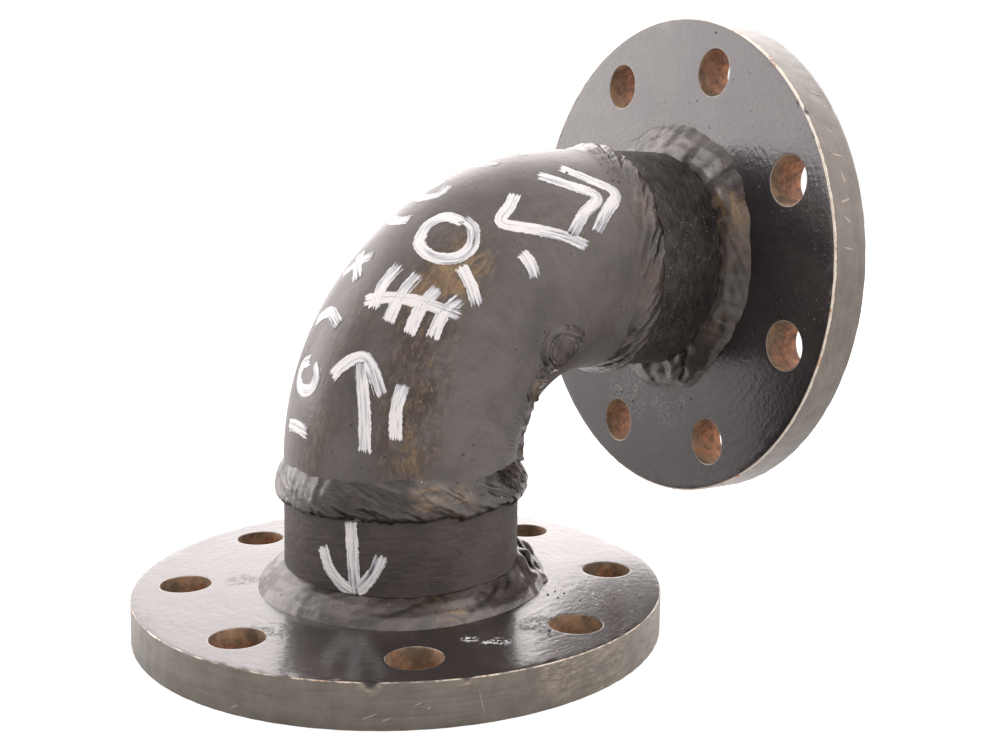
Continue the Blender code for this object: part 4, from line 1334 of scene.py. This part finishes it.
def build_fitting():
    """Every piece of the fitting."""
    build_flanges()
    stains = (
        bend_spot(64, 50, 22, 1.0),
        bend_spot(48, 56, 20, 0.8),
        bend_spot(32, 63, 20, 1.0),
        bend_spot(16, 66, 18, 1.0),
        bend_spot(12, 18, 17, 0.8),
        bend_spot(40, 22, 16, 0.5),
        bend_spot(100, 60, 16, 0.4),
    )
    golden = (bend_spot(66, 52, 13, 1.0), bend_spot(56, 44, 8, 0.7), bend_spot(14, 67, 9, 0.5))
    bend_tones = ((0.068, 0.059, 0.054), (0.116, 0.104, 0.096))
    bend_gloss = (0.26, 0.48, 0.2, 0.16 * MM)
    bend = (bend_tones, 0.35, stains, golden, (0.2, (70.0, 70.0, 420.0)), (0.5, 0.54), bend_gloss)
    base_pipe_tones = ((0.038, 0.030, 0.027), (0.080, 0.066, 0.060))
    base_pipe_gloss = (0.42, 0.66, 0.0, 0.28 * MM)
    base_pipe = (base_pipe_tones, 0.35, (), (), (0.4, (90.0, 90.0, 420.0)), (0.5, 0.54), base_pipe_gloss)
    # The side pipe's tones are darker than the other pipes': painted shade for its place between the flange and the
    # bend.
    side_pipe_shaded_tones = ((0.004, 0.003, 0.003), (0.072, 0.062, 0.056))
    side_pipe_gloss = (0.30, 0.50, 0.14, 0.30 * MM)
    side_pipe = (side_pipe_shaded_tones, 0.15, (), (), (0.45, (170.0, 170.0, 420.0)), (0.8, 0.42), side_pipe_gloss)
    bend_surface(pipe_paint("bend_paint", *bend))
    base_paint = pipe_paint("base_pipe_paint", *base_pipe)
    stub_surface("base_pipe", "base", "base_stub", BASE_GROOVE, base_paint, BASE_STUB_SEED)
    side_paint = pipe_paint("side_pipe_paint", *side_pipe)
    stub_surface("side_pipe", "side", "side_stub", SIDE_GROOVE, side_paint, SIDE_STUB_SEED)
    bend_marks = pipe_paint("bend_mark_paint", *bend, marked=True)
    base_marks = pipe_paint("base_mark_paint", *base_pipe, marked=True)
    add_marks(bend_marks, base_marks)
    base_golden = (
        weld_spot(48, -104, BASE_GROOVE + 1 * MM, 10, 0.6),
        weld_spot(48, -90, BASE_GROOVE, 10, 0.4),
        weld_spot(56, -96, PLATE_THICKNESS + 2 * MM, 9, 0.9),
        weld_spot(48, -100, PLATE_THICKNESS + 9 * MM, 9, 0.5),
    )
    side_golden = (
        weld_spot(54, -156, PLATE_THICKNESS + 5 * MM, 14, 0.9),
        weld_spot(54, -175, PLATE_THICKNESS + 4 * MM, 12, 0.3),
        weld_spot(47, -150, SIDE_GROOVE + 7 * MM, 10, 0.4),
        weld_spot(47, 175, SIDE_GROOVE + 7 * MM, 10, 0.4),
        weld_spot(54, 150, PLATE_THICKNESS + 5 * MM, 12, 0.3),
    )
    base_beads = weld_paint("base_bead_paint", 0.52, base_golden)
    side_beads = weld_paint("side_bead_paint", 1.05, side_golden)
    base_corner = weld_paint("base_corner_paint", 1.02, base_golden)
    side_corner = weld_paint("side_corner_paint", 0.95, side_golden)
    base_shape = (7.5 * MM, 3.7 * MM, 0.34 * MM, 0.75 * MM, 19)
    side_shape = (6.4 * MM, 2.6 * MM, 0.31 * MM, 0.75 * MM, 17)
    butt_weld_surface("base_pipe_weld", "base", "base_butt_weld", BASE_GROOVE, 0, base_shape, base_beads, 35)
    wander = 1.8 * MM
    butt_weld_surface("side_pipe_weld", "side", "side_butt_weld", SIDE_GROOVE, wander, side_shape, side_beads, 41)
    base_shape = ("base_fillet_weld", (8.6 * MM, 11.0 * MM), BASE_LUMPS, BASE_CRAGS, 11, 0.3 * MM)
    side_shape = ("side_fillet_weld", (6.6 * MM, 11.5 * MM), SIDE_LUMPS, SIDE_CRAGS, 16, 1.1 * MM)
    fillet_weld_surface("base_corner_weld", "base", *base_shape, base_corner, 51)
    fillet_weld_surface("side_corner_weld", "side", *side_shape, side_corner, 61)
    tangent = BASE_TANGENT / MM
    throat_golden = (bend_spot(tangent + 50, 131, 13, 0.5), bend_spot(tangent + 62, 128, 9, 0.3))
    throat_weld_surface("throat_bead", "throat_weld", weld_paint("throat_paint", 1.1, throat_golden), 81)
    add_spatter(base_beads)
    tick_metal = bare_metal("tick_metal", (0.230, 0.190, 0.150), (0.520, 0.450, 0.380), 0.4)
    add_rim_ticks("side_rim_ticks", "side", SIDE_TICKS, tick_metal)
    add_rim_ticks("base_rim_scratches", "base", BASE_TICKS, tick_metal)
    inner = bare_metal("inner_weld_metal", (0.110, 0.070, 0.045), (0.300, 0.250, 0.205), 0.5)
    seal_weld_surface("base_bore_weld", "base", "base_seal_weld", inner, 71)
    seal_weld_surface("side_bore_weld", "side", "side_seal_weld", inner, 72)


bpy.context.scene.view_settings.view_transform = "Standard"
set_camera()
set_light()
set_floor()
build_fitting()
